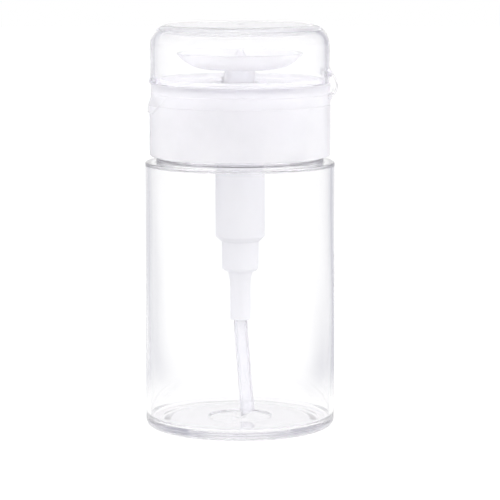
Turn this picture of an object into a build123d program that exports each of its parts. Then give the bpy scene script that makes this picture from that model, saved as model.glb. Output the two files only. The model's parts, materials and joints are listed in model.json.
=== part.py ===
"""Push-down dispenser bottle with a flip lid, piece by piece, in millimetres.

The bottle stands on its base ring at height zero with its axis on Z. The lid's strap hinge is on
the +X side, the thumb scoop and the lid's lip are on the -X side. The closure screws on the neck,
the pump hangs in the closure and its stem carries the dish that a cotton pad is pressed on.
"""
from build123d import *
import math
import os

# Clear bottle
BODY_DIAMETER = 48.0
BODY_WALL = 1.1
SHOULDER_HEIGHT = 67.4
SHOULDER_WALL = 0.6
SHOULDER_FILLET = 0.5
SHOULDER_INNER_FILLET = 0.35
HEEL_FILLET = 2.4
STANDING_WIDTH = 1.6
PUSH_UP_RISE = 0.8
PUSH_UP_RUN = 2.4
BASE_THICKNESS = 1.4
GATE_RING_DIAMETER = 15.6
GATE_RING_STEP = 0.3
STEP_RISE = 1.2
STEP_FILLET = 0.4
STEP_CLEARANCE = 0.35
BEAD_OVERHANG = 1.9
BEAD_HEIGHT = 1.2

# Neck and its screw thread
NECK_HEIGHT = 15.2
NECK_ROOT_DIAMETER = 29.4
NECK_WALL = 1.7
NECK_LIP_FILLET = 0.3
THREAD_PITCH = 3.2
THREAD_DEPTH = 1.1
THREAD_BASE = 1.5
THREAD_CREST = 0.6
THREAD_TURNS = 1.75
THREAD_LEAD_IN = 0.9
THREAD_RADIAL_CLEARANCE = 0.25
THREAD_SIDE_CLEARANCE = 0.2
THREAD_ROOTING = 0.15

# Screw closure
COLLAR_DIAMETER = 45.7
COLLAR_WALL = 1.3
COLLAR_LIFT = 1.6
COLLAR_FOOT_FILLET = 0.5
SEAM_CHAMFER = 0.2
DECK_THICKNESS = 1.5
DECK_DROP = 0.2
DECK_HOLE_CLEARANCE = 0.05
UPSTAND_HEIGHT = 1.1
UPSTAND_WALL = 1.2
UPSTAND_GAP = 0.55
SNAP_BEAD_REACH = 0.25
SNAP_BEAD_HEIGHT = 0.5
SKIRT_WALL = 1.1
SKIRT_LIFT = 0.5
SEAL_RIB_WIDTH = 0.9
SCOOP_HALF_ANGLE = 41.0
SCOOP_HEIGHT = 7.5
SCOOP_CORNER = 10.0
SCOOP_DEPTH = 0.35
SCOOP_RIM_REACH = 0.37
SCOOP_RIM_HEIGHT = 1.9
SCOOP_SLOPE_HEIGHT = 2.0

# Flip lid and its strap hinge
LID_HEIGHT = 14.6
LID_INSET = 0.2
LID_WALL = 1.2
LID_TOP_THICKNESS = 1.2
LID_CORNER = 5.0
LIP_REACH = 0.4
LIP_HEIGHT = 1.6
LIP_HALF_ANGLE = 24.0
STRAP_WIDTH = 12.0
STRAP_THICKNESS = 0.5
STRAP_HEIGHT = 5.6
STRAP_BULGE = 1.3
STRAP_DROP = 0.3
STRAP_PAD_REACH = 0.1
STRAP_PAD_HEIGHT = 1.4
STRAP_PAD_SIDE = 0.3

# Foam gasket on the neck
GASKET_THICKNESS = 1.0
GASKET_EDGE_CLEARANCE = 0.3
GASKET_BORE_CLEARANCE = 0.1

# Pump housing, from the flange down
FLANGE_DIAMETER = 18.0
FLANGE_THICKNESS = 1.3
BARREL_DIAMETER = 12.5
BARREL_WALL = 1.0
BARREL_LENGTH = 36.3
BARREL_CHAMFER = 1.2
BARREL_FLOOR = 1.4
VALVE_DIAMETER = 9.4
VALVE_WALL = 1.1
VALVE_LENGTH = 7.7
VALVE_CHAMFER = 0.7
TAPER_TOP_DIAMETER = 6.4
TAPER_LENGTH = 2.7
SOCKET_DIAMETER = 5.4
SOCKET_LENGTH = 9.8
SOCKET_STOP_DROP = 0.8
INLET_DIAMETER = 2.0
SEAT_RISE = 0.4

# Stem guide in the housing's mouth, and its wiper
GUIDE_FLANGE_THICKNESS = 0.8
GUIDE_BOSS_DIAMETER = 13.8
GUIDE_PROUD = 0.2
GUIDE_SPIGOT_LENGTH = 6.6
GUIDE_MOUTH_CHAMFER = 0.7
GUIDE_FIT = 0.05
WIPER_HEIGHT = 1.2
WIPER_WALL = 0.6
WIPER_FIT = 0.04

# Dish with its socket tube and key
DISH_DIAMETER = 32.1
DISH_FLOOR_DIAMETER = 16.4
DISH_HEIGHT = 4.1
DISH_WALL = 1.0
DISH_BOSS_DIAMETER = 6.4
DISH_BOSS_HEIGHT = 1.0
DISH_SOCKET_DIAMETER = 7.8
DISH_SOCKET_LENGTH = 13.8
DISH_SOCKET_FILLET = 0.4
PRESS_STROKE = 3.3
PRESS_STOP_GAP = 0.3
SOCKET_RUNNING_FIT = 0.05
KEY_REACH = 0.75
KEY_WIDTH = 1.2
KEY_TOP_DROP = 1.9
KEY_LENGTH = 4.9
KEY_CLEARANCE = 0.15

# Outlet nozzle in the dish
NOZZLE_SPIGOT_LENGTH = 1.2
NOZZLE_HEAD_DIAMETER = 5.2
NOZZLE_HEAD_HEIGHT = 0.5
NOZZLE_CONE_DIAMETER = 3.8
NOZZLE_TIP_DIAMETER = 1.6
NOZZLE_CONE_HEIGHT = 2.3
NOZZLE_BORE_DIAMETER = 0.9
NOZZLE_FIT = 0.02

# Stem, piston plug and piston seal
STEM_DIAMETER = 5.6
STEM_BORE_DIAMETER = 4.1
STEM_TOP_DROP = 1.5
STEM_LENGTH = 22.4
STEM_PRESS_FIT = 0.02
STEM_FLANGE_DIAMETER = 7.8
STEM_FLANGE_THICKNESS = 0.8
STEM_VALVE_LENGTH = 3.3
OUTLET_HOLE_DIAMETER = 1.6
OUTLET_SEAT_RISE = 1.0
SEAL_HEIGHT = 4.6
SEAL_HUB_WALL = 0.9
SEAL_LIP = 0.6
SEAL_WEB = 1.0
SEAL_RUNNING_FIT = 0.03
SEAL_HUB_FIT = 0.05
PLUG_FLANGE_DIAMETER = 9.4
PLUG_FLANGE_THICKNESS = 0.8
PLUG_TUBE_LENGTH = 6.7
PLUG_FOOT_GAP = 0.1
PLUG_FIT = 0.05
PLUG_BORE_DIAMETER = 2.2
PLUG_PILOT_HEIGHT = 1.0

# Return spring
WIRE_DIAMETER = 0.7
SPRING_MEAN_DIAMETER = 8.4
SPRING_TURNS = 7
SPRING_END_PITCH = 1.3
SPRING_SEAT_GAP = 0.02
SPRING_PILOT_CLEARANCE = 0.25

# Inlet valve: cage and ball
CAGE_FLANGE_CLEARANCE = 0.1
CAGE_FLANGE_THICKNESS = 0.8
CAGE_TUBE_CLEARANCE = 0.1
CAGE_WALL = 1.0
CAGE_DEPTH = 4.7
CAGE_PLATE = 0.7
CAGE_HOLE_DIAMETER = 0.9
CAGE_HOLE_COUNT = 4
INLET_BALL_DIAMETER = 3.2
OUTLET_BALL_DIAMETER = 2.6
OUTLET_CHAMBER_DIAMETER = 3.6
BALL_SEAT_CLEARANCE = 0.05

# Dip tube
TUBE_DIAMETER = 3.6
TUBE_WALL = 0.6
TUBE_PRESS_FIT = 0.02
TUBE_LEAN_X = 2.1
TUBE_LEAN_Y = -3.0
TUBE_FLOOR_GAP = 0.4
TUBE_BEND_SHARE = 0.48
TUBE_MIDWAY_SHARE = 0.42
TUBE_CUT_ANGLE = 24.0

# How far cutting bodies run past the faces that they cut
OVERRUN = 2.0

# Radii of the round pieces
BODY_RADIUS = BODY_DIAMETER / 2
COLLAR_RADIUS = COLLAR_DIAMETER / 2
COLLAR_INNER = COLLAR_RADIUS - COLLAR_WALL
STEP_RADIUS = COLLAR_INNER - STEP_CLEARANCE
NECK_RADIUS = NECK_ROOT_DIAMETER / 2
NECK_BORE = NECK_RADIUS - NECK_WALL
BEAD_RADIUS = NECK_RADIUS + BEAD_OVERHANG
SKIRT_INNER = NECK_RADIUS + THREAD_DEPTH + THREAD_RADIAL_CLEARANCE
SKIRT_OUTER = SKIRT_INNER + SKIRT_WALL
LID_RADIUS = COLLAR_RADIUS - LID_INSET
UPSTAND_RADIUS = LID_RADIUS - LID_WALL - UPSTAND_GAP
BARREL_RADIUS = BARREL_DIAMETER / 2
BARREL_BORE = BARREL_RADIUS - BARREL_WALL
VALVE_RADIUS = VALVE_DIAMETER / 2
VALVE_BORE = VALVE_RADIUS - VALVE_WALL
SOCKET_RADIUS = DISH_SOCKET_DIAMETER / 2
STEM_RADIUS = STEM_DIAMETER / 2
STEM_BORE = STEM_BORE_DIAMETER / 2
GUIDE_SPIGOT_RADIUS = BARREL_BORE - GUIDE_FIT
GUIDE_BORE = SOCKET_RADIUS + SOCKET_RUNNING_FIT
INLET_RADIUS = INLET_DIAMETER / 2
OUTLET_HOLE = OUTLET_HOLE_DIAMETER / 2

# Heights, stacked from the bottle's shoulder up
STEP_TOP = SHOULDER_HEIGHT + STEP_RISE
BEAD_TOP = STEP_TOP + BEAD_HEIGHT
NECK_TOP = SHOULDER_HEIGHT + NECK_HEIGHT
FLANGE_BOTTOM = NECK_TOP + GASKET_THICKNESS
FLANGE_TOP = FLANGE_BOTTOM + FLANGE_THICKNESS
DECK_BOTTOM = FLANGE_TOP + GUIDE_FLANGE_THICKNESS
DECK_TOP = DECK_BOTTOM + DECK_THICKNESS
SEAM = DECK_TOP + DECK_DROP
COLLAR_BOTTOM = SHOULDER_HEIGHT + COLLAR_LIFT
LID_TOP = SEAM + LID_HEIGHT
HINGE_HEIGHT = SEAM - STRAP_DROP
PAD_FACE = COLLAR_RADIUS + STRAP_PAD_REACH
HINGE_REACH = PAD_FACE + STRAP_BULGE

# Heights of the pump, from the deck down
DISH_FLOOR = DECK_TOP + PRESS_STROKE + PRESS_STOP_GAP
DISH_RIM = DISH_FLOOR + DISH_HEIGHT
DISH_SOCKET_BOTTOM = DISH_FLOOR - DISH_SOCKET_LENGTH
BOSS_TOP = DISH_FLOOR + DISH_WALL + DISH_BOSS_HEIGHT
STEM_TOP = DISH_FLOOR - STEM_TOP_DROP
STEM_BOTTOM = STEM_TOP - STEM_LENGTH
SEAL_BOTTOM = STEM_BOTTOM - PLUG_FOOT_GAP
SEAL_TOP = SEAL_BOTTOM + SEAL_HEIGHT
PLUG_FLANGE_BOTTOM = SEAL_BOTTOM - PLUG_FLANGE_THICKNESS
GUIDE_SPIGOT_BOTTOM = FLANGE_TOP - GUIDE_SPIGOT_LENGTH
BARREL_BOTTOM = FLANGE_BOTTOM - BARREL_LENGTH
BARREL_STEP = BARREL_BOTTOM + BARREL_FLOOR
VALVE_BOTTOM = BARREL_BOTTOM - VALVE_LENGTH
TAPER_BOTTOM = VALVE_BOTTOM - TAPER_LENGTH
SOCKET_BOTTOM = TAPER_BOTTOM - SOCKET_LENGTH
TUBE_TOP = TAPER_BOTTOM - SOCKET_STOP_DROP
SEAT_BOTTOM = VALVE_BOTTOM + SEAT_RISE
OUTLET_SEAT = STEM_TOP - OUTLET_SEAT_RISE
SPRING_BOTTOM = BARREL_STEP + CAGE_FLANGE_THICKNESS
FLOOR_HEIGHT = PUSH_UP_RISE + BASE_THICKNESS


def profile(*corners):
    """A face in the XZ plane through corners of radius, height and, if rounded, a fillet radius."""
    face = Polygon(*[corner[:2] for corner in corners], align=None)
    for corner in corners:
        if len(corner) == 3:
            point = (corner[0], corner[1], 0)
            face = fillet(face.vertices().sort_by_distance(point)[0], corner[2])
    return Plane.XZ * face


def turned(*corners):
    """The solid that a profile makes when it is turned about the bottle's axis."""
    return revolve(profile(*corners), Axis.Z)


def ring(outer, inner, low, high):
    """A plain tube between two heights."""
    return turned((inner, low), (outer, low), (outer, high), (inner, high))


def wedge(half_angle, low, high):
    """A wedge about the +X direction, to cut a sector out of a ring."""
    reach = BODY_DIAMETER
    side = reach * math.tan(math.radians(half_angle))
    plan = Polygon((0, 0), (reach, -side), (reach, side), align=None)
    return Pos(0, 0, low) * extrude(plan, high - low)


def block(x_range, y_half, z_range):
    """A box between two X values and two heights, centred on Y."""
    plan = Polygon(
        (x_range[0], -y_half),
        (x_range[1], -y_half),
        (x_range[1], y_half),
        (x_range[0], y_half),
        align=None,
    )
    return Pos(0, 0, z_range[0]) * extrude(plan, z_range[1] - z_range[0])


def thread(wall, outward, middle):
    """A right-handed thread on a round wall, from the height of its lowest turn's middle."""
    depth = THREAD_DEPTH * outward
    rooting = THREAD_ROOTING * outward
    half_base = THREAD_BASE / 2
    half_crest = THREAD_CREST / 2
    section = Plane.XZ * Polygon(
        (wall - rooting, -half_base),
        (wall + depth, -half_crest),
        (wall + depth, half_crest),
        (wall - rooting, half_base),
        align=None,
    )
    path = Helix(pitch=THREAD_PITCH, height=THREAD_PITCH * THREAD_TURNS, radius=wall)
    return Pos(0, 0, middle) * sweep(section, path=path, is_frenet=True)


NECK_THREAD_START = NECK_TOP - THREAD_LEAD_IN - THREAD_BASE / 2 - THREAD_PITCH * THREAD_TURNS
CAP_THREAD_START = NECK_THREAD_START - (THREAD_BASE + THREAD_CREST) / 2 - THREAD_SIDE_CLEARANCE


def make_bottle():
    """The clear bottle: heel, push-up base, shoulder step, transfer bead and threaded neck."""
    standing_inner = BODY_RADIUS - HEEL_FILLET - STANDING_WIDTH
    dome_edge = standing_inner - PUSH_UP_RUN
    gate_edge = GATE_RING_DIAMETER / 2
    gate_top = PUSH_UP_RISE + GATE_RING_STEP
    inner = BODY_RADIUS - BODY_WALL
    gate_floor = FLOOR_HEIGHT - GATE_RING_STEP
    under_shoulder = SHOULDER_HEIGHT - SHOULDER_WALL
    under_step = STEP_TOP - BODY_WALL
    shell = turned(
        (0, gate_top),
        (gate_edge, gate_top),
        (gate_edge + GATE_RING_STEP, PUSH_UP_RISE),
        (dome_edge, PUSH_UP_RISE, STANDING_WIDTH),
        (standing_inner, 0),
        (BODY_RADIUS, 0, HEEL_FILLET),
        (BODY_RADIUS, SHOULDER_HEIGHT, SHOULDER_FILLET),
        (STEP_RADIUS, SHOULDER_HEIGHT),
        (STEP_RADIUS, STEP_TOP, STEP_FILLET),
        (BEAD_RADIUS, STEP_TOP),
        (BEAD_RADIUS, BEAD_TOP, STEP_FILLET),
        (NECK_RADIUS, BEAD_TOP),
        (NECK_RADIUS, NECK_TOP, NECK_LIP_FILLET),
        (NECK_BORE, NECK_TOP, NECK_LIP_FILLET),
        (NECK_BORE, under_step),
        (STEP_RADIUS - BODY_WALL, under_step, STEP_FILLET),
        (STEP_RADIUS - BODY_WALL, under_shoulder),
        (inner, under_shoulder, SHOULDER_INNER_FILLET),
        (inner, FLOOR_HEIGHT, HEEL_FILLET - BODY_WALL),
        (gate_edge + GATE_RING_STEP, FLOOR_HEIGHT),
        (gate_edge, gate_floor),
        (0, gate_floor),
    )
    return shell + thread(NECK_RADIUS, 1, NECK_THREAD_START)


def scoop_window():
    """The thumb scoop's outline with its rounded foot, as a prism that runs out on the -X side."""
    foot = SEAM - SCOOP_HEIGHT
    half_width = COLLAR_RADIUS * math.sin(math.radians(SCOOP_HALF_ANGLE))
    window = Polygon(
        (-half_width, foot),
        (half_width, foot),
        (half_width, SEAM + SCOOP_HEIGHT),
        (-half_width, SEAM + SCOOP_HEIGHT),
        align=None,
    )
    for side in (-half_width, half_width):
        window = fillet(window.vertices().sort_by_distance((side, foot, 0))[0], SCOOP_CORNER)
    return extrude(Plane.YZ * window, -(COLLAR_RADIUS + OVERRUN))


def add_scoop(collar):
    """Gives the collar its thumb scoop: a rim at the foot, which slopes in to a shallow recess."""
    foot = SEAM - SCOOP_HEIGHT
    rim_top = foot + SCOOP_RIM_HEIGHT
    slope_top = rim_top + SCOOP_SLOPE_HEIGHT
    rim_share = SCOOP_RIM_REACH / (SCOOP_RIM_REACH + SCOOP_DEPTH)
    crossing = rim_top + SCOOP_SLOPE_HEIGHT * rim_share
    outside = COLLAR_RADIUS + OVERRUN
    rim = turned(
        (COLLAR_INNER, foot),
        (COLLAR_RADIUS + SCOOP_RIM_REACH, foot),
        (COLLAR_RADIUS + SCOOP_RIM_REACH, rim_top),
        (COLLAR_RADIUS, crossing),
        (COLLAR_INNER, crossing),
    )
    recess = turned(
        (COLLAR_RADIUS, crossing),
        (outside, crossing),
        (outside, SEAM + OVERRUN),
        (COLLAR_RADIUS - SCOOP_DEPTH, SEAM + OVERRUN),
        (COLLAR_RADIUS - SCOOP_DEPTH, slope_top),
    )
    window = scoop_window()
    return collar + (rim & window) - (recess & window)


def make_collar():
    """The screw closure: outer skirt, deck, upstand, threaded inner skirt and thumb scoop."""
    wall = turned(
        (COLLAR_INNER, COLLAR_BOTTOM),
        (COLLAR_RADIUS, COLLAR_BOTTOM, COLLAR_FOOT_FILLET),
        (COLLAR_RADIUS, SEAM - SEAM_CHAMFER),
        (COLLAR_RADIUS - SEAM_CHAMFER, SEAM),
        (COLLAR_INNER, SEAM),
    )
    deck_hole = GUIDE_BOSS_DIAMETER / 2 + DECK_HOLE_CLEARANCE
    deck = ring(COLLAR_INNER, deck_hole, DECK_BOTTOM, DECK_TOP)
    upstand_top = SEAM + UPSTAND_HEIGHT
    bead_top = upstand_top - SNAP_BEAD_HEIGHT / 2
    bead_bottom = bead_top - SNAP_BEAD_HEIGHT
    upstand = turned(
        (UPSTAND_RADIUS - UPSTAND_WALL, DECK_BOTTOM),
        (UPSTAND_RADIUS, DECK_BOTTOM),
        (UPSTAND_RADIUS, bead_bottom),
        (UPSTAND_RADIUS + SNAP_BEAD_REACH, (bead_bottom + bead_top) / 2),
        (UPSTAND_RADIUS, bead_top),
        (UPSTAND_RADIUS, upstand_top),
        (UPSTAND_RADIUS - UPSTAND_WALL, upstand_top),
    )
    skirt = ring(SKIRT_OUTER, SKIRT_INNER, BEAD_TOP + SKIRT_LIFT, DECK_BOTTOM)
    land = (NECK_RADIUS + NECK_BORE) / 2
    rib = ring(land + SEAL_RIB_WIDTH / 2, land - SEAL_RIB_WIDTH / 2, FLANGE_BOTTOM, DECK_BOTTOM)
    collar = wall + deck + upstand + skirt + rib + thread(SKIRT_INNER, -1, CAP_THREAD_START)
    pad_middle = HINGE_HEIGHT - STRAP_HEIGHT / 2
    return add_scoop(collar) + strap_pad(pad_middle)


def strap_pad(middle):
    """The flat pad on a wall that one end of the strap hinge grows from."""
    half = STRAP_PAD_HEIGHT / 2
    pad = block((0, PAD_FACE), STRAP_WIDTH / 2 + STRAP_PAD_SIDE, (middle - half, middle + half))
    core = Pos(0, 0, middle) * Cylinder(COLLAR_INNER, STRAP_PAD_HEIGHT + OVERRUN)
    return pad - core


def make_lid():
    """The flip lid: a shallow cup with a thumb lip at the front and a strap pad at the back."""
    inner = LID_RADIUS - LID_WALL
    ceiling = LID_TOP - LID_TOP_THICKNESS
    cup = turned(
        (inner, SEAM),
        (LID_RADIUS - SEAM_CHAMFER, SEAM),
        (LID_RADIUS, SEAM + SEAM_CHAMFER),
        (LID_RADIUS, LID_TOP, LID_CORNER),
        (0, LID_TOP),
        (0, ceiling),
        (inner, ceiling, LID_CORNER - LID_WALL),
    )
    lip = turned(
        (inner, SEAM),
        (LID_RADIUS + LIP_REACH - SEAM_CHAMFER, SEAM),
        (LID_RADIUS + LIP_REACH, SEAM + SEAM_CHAMFER),
        (LID_RADIUS, SEAM + LIP_HEIGHT),
        (inner, SEAM + LIP_HEIGHT),
    )
    lip = lip & (Rot(0, 0, 180) * wedge(LIP_HALF_ANGLE, SEAM, LID_TOP))
    return cup + lip + strap_pad(HINGE_HEIGHT + STRAP_HEIGHT / 2)


def make_strap():
    """The bowed strap that joins lid and collar, a flat band bent to an arc."""
    half = STRAP_HEIGHT / 2
    radius = (half**2 + STRAP_BULGE**2) / (2 * STRAP_BULGE)
    band = Circle(radius + STRAP_THICKNESS / 2) - Circle(radius - STRAP_THICKNESS / 2)
    band = Pos(HINGE_REACH - radius, HINGE_HEIGHT) * band
    reach = PAD_FACE + STRAP_HEIGHT
    window = Polygon(
        (PAD_FACE, HINGE_HEIGHT - STRAP_HEIGHT),
        (reach, HINGE_HEIGHT - STRAP_HEIGHT),
        (reach, HINGE_HEIGHT + STRAP_HEIGHT),
        (PAD_FACE, HINGE_HEIGHT + STRAP_HEIGHT),
        align=None,
    )
    return extrude(Plane.XZ * (band & window), STRAP_WIDTH / 2, both=True)


def make_gasket():
    """The foam washer that the neck's rim, the pump's flange and the closure press on."""
    outer = SKIRT_INNER - GASKET_EDGE_CLEARANCE
    return ring(outer, BARREL_RADIUS + GASKET_BORE_CLEARANCE, NECK_TOP, FLANGE_BOTTOM)


def make_housing():
    """The pump's cylinder: flange, long barrel, valve chamber and the dip tube's socket."""
    tube_hole = TUBE_DIAMETER / 2 + TUBE_PRESS_FIT
    seat_top = SEAT_BOTTOM + VALVE_BORE - INLET_RADIUS
    return turned(
        (BARREL_BORE, FLANGE_TOP),
        (FLANGE_DIAMETER / 2, FLANGE_TOP),
        (FLANGE_DIAMETER / 2, FLANGE_BOTTOM),
        (BARREL_RADIUS, FLANGE_BOTTOM),
        (BARREL_RADIUS, BARREL_BOTTOM + BARREL_CHAMFER),
        (BARREL_RADIUS - BARREL_CHAMFER, BARREL_BOTTOM),
        (VALVE_RADIUS, BARREL_BOTTOM),
        (VALVE_RADIUS, VALVE_BOTTOM + VALVE_CHAMFER),
        (VALVE_RADIUS - VALVE_CHAMFER, VALVE_BOTTOM),
        (TAPER_TOP_DIAMETER / 2, VALVE_BOTTOM),
        (SOCKET_DIAMETER / 2, TAPER_BOTTOM),
        (SOCKET_DIAMETER / 2, SOCKET_BOTTOM),
        (tube_hole, SOCKET_BOTTOM),
        (tube_hole, TUBE_TOP),
        (INLET_RADIUS, TUBE_TOP),
        (INLET_RADIUS, SEAT_BOTTOM),
        (VALVE_BORE, seat_top),
        (VALVE_BORE, BARREL_STEP),
        (BARREL_BORE, BARREL_STEP),
    )


def make_guide():
    """The bush that closes the housing's mouth and guides the dish's socket tube."""
    boss = GUIDE_BOSS_DIAMETER / 2
    top = DECK_TOP + GUIDE_PROUD
    wiper_outer = SOCKET_RADIUS + WIPER_WALL + 2 * WIPER_FIT
    groove_top = GUIDE_SPIGOT_BOTTOM + WIPER_HEIGHT
    guide = turned(
        (GUIDE_BORE, top - GUIDE_MOUTH_CHAMFER),
        (GUIDE_BORE + GUIDE_MOUTH_CHAMFER, top),
        (boss, top, GUIDE_PROUD),
        (boss, DECK_BOTTOM),
        (FLANGE_DIAMETER / 2, DECK_BOTTOM),
        (FLANGE_DIAMETER / 2, FLANGE_TOP),
        (GUIDE_SPIGOT_RADIUS, FLANGE_TOP),
        (GUIDE_SPIGOT_RADIUS, GUIDE_SPIGOT_BOTTOM),
        (wiper_outer, GUIDE_SPIGOT_BOTTOM),
        (wiper_outer, groove_top),
        (GUIDE_BORE, groove_top),
    )
    key_bottom = DISH_FLOOR - KEY_TOP_DROP - KEY_LENGTH - PRESS_STROKE
    keyway = block(
        (-SOCKET_RADIUS - KEY_REACH - KEY_CLEARANCE, 0),
        KEY_WIDTH / 2 + KEY_CLEARANCE,
        (key_bottom - PRESS_STOP_GAP, top + OVERRUN),
    )
    return guide - keyway


def make_wiper():
    """The soft ring in the guide's foot that wipes the socket tube."""
    inner = SOCKET_RADIUS + WIPER_FIT
    return ring(
        inner + WIPER_WALL, inner, GUIDE_SPIGOT_BOTTOM, GUIDE_SPIGOT_BOTTOM + WIPER_HEIGHT
    )


def make_dish():
    """The dish, with its bowl, the boss round its outlet, the socket tube and the sliding key."""
    rim = DISH_DIAMETER / 2
    flat = DISH_FLOOR_DIAMETER / 2
    rise, run = DISH_HEIGHT, rim - flat
    bowl = (rise**2 + run**2) / (2 * rise)
    inner_bowl = bowl - DISH_WALL
    centre = DISH_FLOOR + bowl
    rim_angle = math.asin(run / bowl)
    inner_rim = flat + math.sqrt(inner_bowl**2 - (centre - DISH_RIM) ** 2)
    inner_angle = math.asin((inner_rim - flat) / inner_bowl)
    outside_middle = (
        flat + bowl * math.sin(rim_angle / 2),
        centre - bowl * math.cos(rim_angle / 2),
    )
    inside_middle = (
        flat + inner_bowl * math.sin(inner_angle / 2),
        centre - inner_bowl * math.cos(inner_angle / 2),
    )
    floor_top = DISH_FLOOR + DISH_WALL
    outline = Curve() + [
        Line((0, DISH_FLOOR), (flat, DISH_FLOOR)),
        ThreePointArc((flat, DISH_FLOOR), outside_middle, (rim, DISH_RIM)),
        Line((rim, DISH_RIM), (inner_rim, DISH_RIM)),
        ThreePointArc((inner_rim, DISH_RIM), inside_middle, (flat, floor_top)),
        Line((flat, floor_top), (0, floor_top)),
        Line((0, floor_top), (0, DISH_FLOOR)),
    ]
    saucer = revolve(Plane.XZ * make_face(outline), Axis.Z)
    boss = turned(
        (0, DISH_FLOOR),
        (DISH_BOSS_DIAMETER / 2, DISH_FLOOR),
        (DISH_BOSS_DIAMETER / 2, BOSS_TOP, DISH_SOCKET_FILLET),
        (0, BOSS_TOP),
    )
    fillet_foot = DISH_FLOOR - DISH_SOCKET_FILLET
    socket = turned(
        (0, DISH_SOCKET_BOTTOM),
        (SOCKET_RADIUS, DISH_SOCKET_BOTTOM),
        (SOCKET_RADIUS, fillet_foot),
        (SOCKET_RADIUS + DISH_SOCKET_FILLET, DISH_FLOOR),
        (0, DISH_FLOOR),
    )
    key_top = DISH_FLOOR - KEY_TOP_DROP
    key = block(
        (-SOCKET_RADIUS - KEY_REACH, -STEM_RADIUS),
        KEY_WIDTH / 2,
        (key_top - KEY_LENGTH, key_top),
    )
    stem_hole = STEM_RADIUS + STEM_PRESS_FIT
    chamber = OUTLET_CHAMBER_DIAMETER / 2
    bore = turned(
        (0, DISH_SOCKET_BOTTOM - OVERRUN),
        (stem_hole, DISH_SOCKET_BOTTOM - OVERRUN),
        (stem_hole, STEM_TOP),
        (chamber, STEM_TOP),
        (chamber, BOSS_TOP + OVERRUN),
        (0, BOSS_TOP + OVERRUN),
    )
    return saucer + boss + socket + key - bore


def make_nozzle():
    """The outlet nozzle: a spigot in the dish's boss, a low head and a cone with a fine bore."""
    spigot = OUTLET_CHAMBER_DIAMETER / 2 - NOZZLE_FIT
    bore = NOZZLE_BORE_DIAMETER / 2
    head_top = BOSS_TOP + NOZZLE_HEAD_HEIGHT
    return turned(
        (bore, BOSS_TOP - NOZZLE_SPIGOT_LENGTH),
        (spigot, BOSS_TOP - NOZZLE_SPIGOT_LENGTH),
        (spigot, BOSS_TOP),
        (NOZZLE_HEAD_DIAMETER / 2, BOSS_TOP),
        (NOZZLE_HEAD_DIAMETER / 2, head_top, SEAM_CHAMFER),
        (NOZZLE_CONE_DIAMETER / 2, head_top),
        (NOZZLE_TIP_DIAMETER / 2, head_top + NOZZLE_CONE_HEIGHT),
        (bore, head_top + NOZZLE_CONE_HEIGHT),
    )


def make_stem():
    """The hollow stem: seat of the outlet valve on top, flange over the piston seal below."""
    flange_top = SEAL_TOP + STEM_FLANGE_THICKNESS
    return turned(
        (STEM_BORE, STEM_BOTTOM),
        (STEM_RADIUS, STEM_BOTTOM),
        (STEM_RADIUS, SEAL_TOP),
        (STEM_FLANGE_DIAMETER / 2, SEAL_TOP),
        (STEM_FLANGE_DIAMETER / 2, flange_top),
        (STEM_RADIUS, flange_top),
        (STEM_RADIUS, STEM_TOP),
        (OUTLET_HOLE + OUTLET_SEAT_RISE, STEM_TOP),
        (OUTLET_HOLE, OUTLET_SEAT),
        (OUTLET_HOLE, STEM_TOP - STEM_VALVE_LENGTH),
        (STEM_BORE, STEM_TOP - STEM_VALVE_LENGTH - STEM_BORE + OUTLET_HOLE),
    )


def make_seal():
    """The piston seal: a hub on the stem's foot with a lip up and a lip down the bore."""
    inner = STEM_RADIUS + SEAL_HUB_FIT
    hub = inner + SEAL_HUB_WALL
    outer = BARREL_BORE - SEAL_RUNNING_FIT
    middle = (SEAL_BOTTOM + SEAL_TOP) / 2
    return turned(
        (inner, SEAL_BOTTOM),
        (hub, SEAL_BOTTOM),
        (hub, middle - SEAL_WEB),
        (outer - SEAL_LIP, SEAL_BOTTOM),
        (outer, SEAL_BOTTOM),
        (outer, SEAL_TOP),
        (outer - SEAL_LIP, SEAL_TOP),
        (hub, middle + SEAL_WEB),
        (hub, SEAL_TOP),
        (inner, SEAL_TOP),
    )


def make_plug():
    """The plug in the stem's foot, whose flange holds the seal and takes the spring."""
    tube = STEM_BORE - PLUG_FIT
    bore = PLUG_BORE_DIAMETER / 2
    pilot = SPRING_MEAN_DIAMETER / 2 - WIRE_DIAMETER / 2 - SPRING_PILOT_CLEARANCE
    return turned(
        (bore, PLUG_FLANGE_BOTTOM - PLUG_PILOT_HEIGHT),
        (pilot, PLUG_FLANGE_BOTTOM - PLUG_PILOT_HEIGHT),
        (pilot, PLUG_FLANGE_BOTTOM),
        (PLUG_FLANGE_DIAMETER / 2, PLUG_FLANGE_BOTTOM),
        (PLUG_FLANGE_DIAMETER / 2, SEAL_BOTTOM),
        (tube, SEAL_BOTTOM),
        (tube, SEAL_BOTTOM + PLUG_TUBE_LENGTH),
        (bore, SEAL_BOTTOM + PLUG_TUBE_LENGTH),
    )


def biarc(start, start_way, end, end_way):
    """Two arcs from start to end that leave and arrive along the given unit directions."""
    span = end - start
    ways = start_way + end_way
    square = 2 * (start_way.dot(end_way) - 1)
    linear = -2 * span.dot(ways)
    reach = (-linear - math.sqrt(linear**2 - 4 * square * span.dot(span))) / (2 * square)
    if reach < 0:
        reach = (-linear + math.sqrt(linear**2 - 4 * square * span.dot(span))) / (2 * square)
    middle = (start + start_way * reach + end - end_way * reach) * (1 / 2)
    middle_way = (span - ways * reach).normalized()
    return [
        TangentArc(start, middle, tangent=start_way),
        TangentArc(middle, end, tangent=middle_way),
    ]


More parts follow.
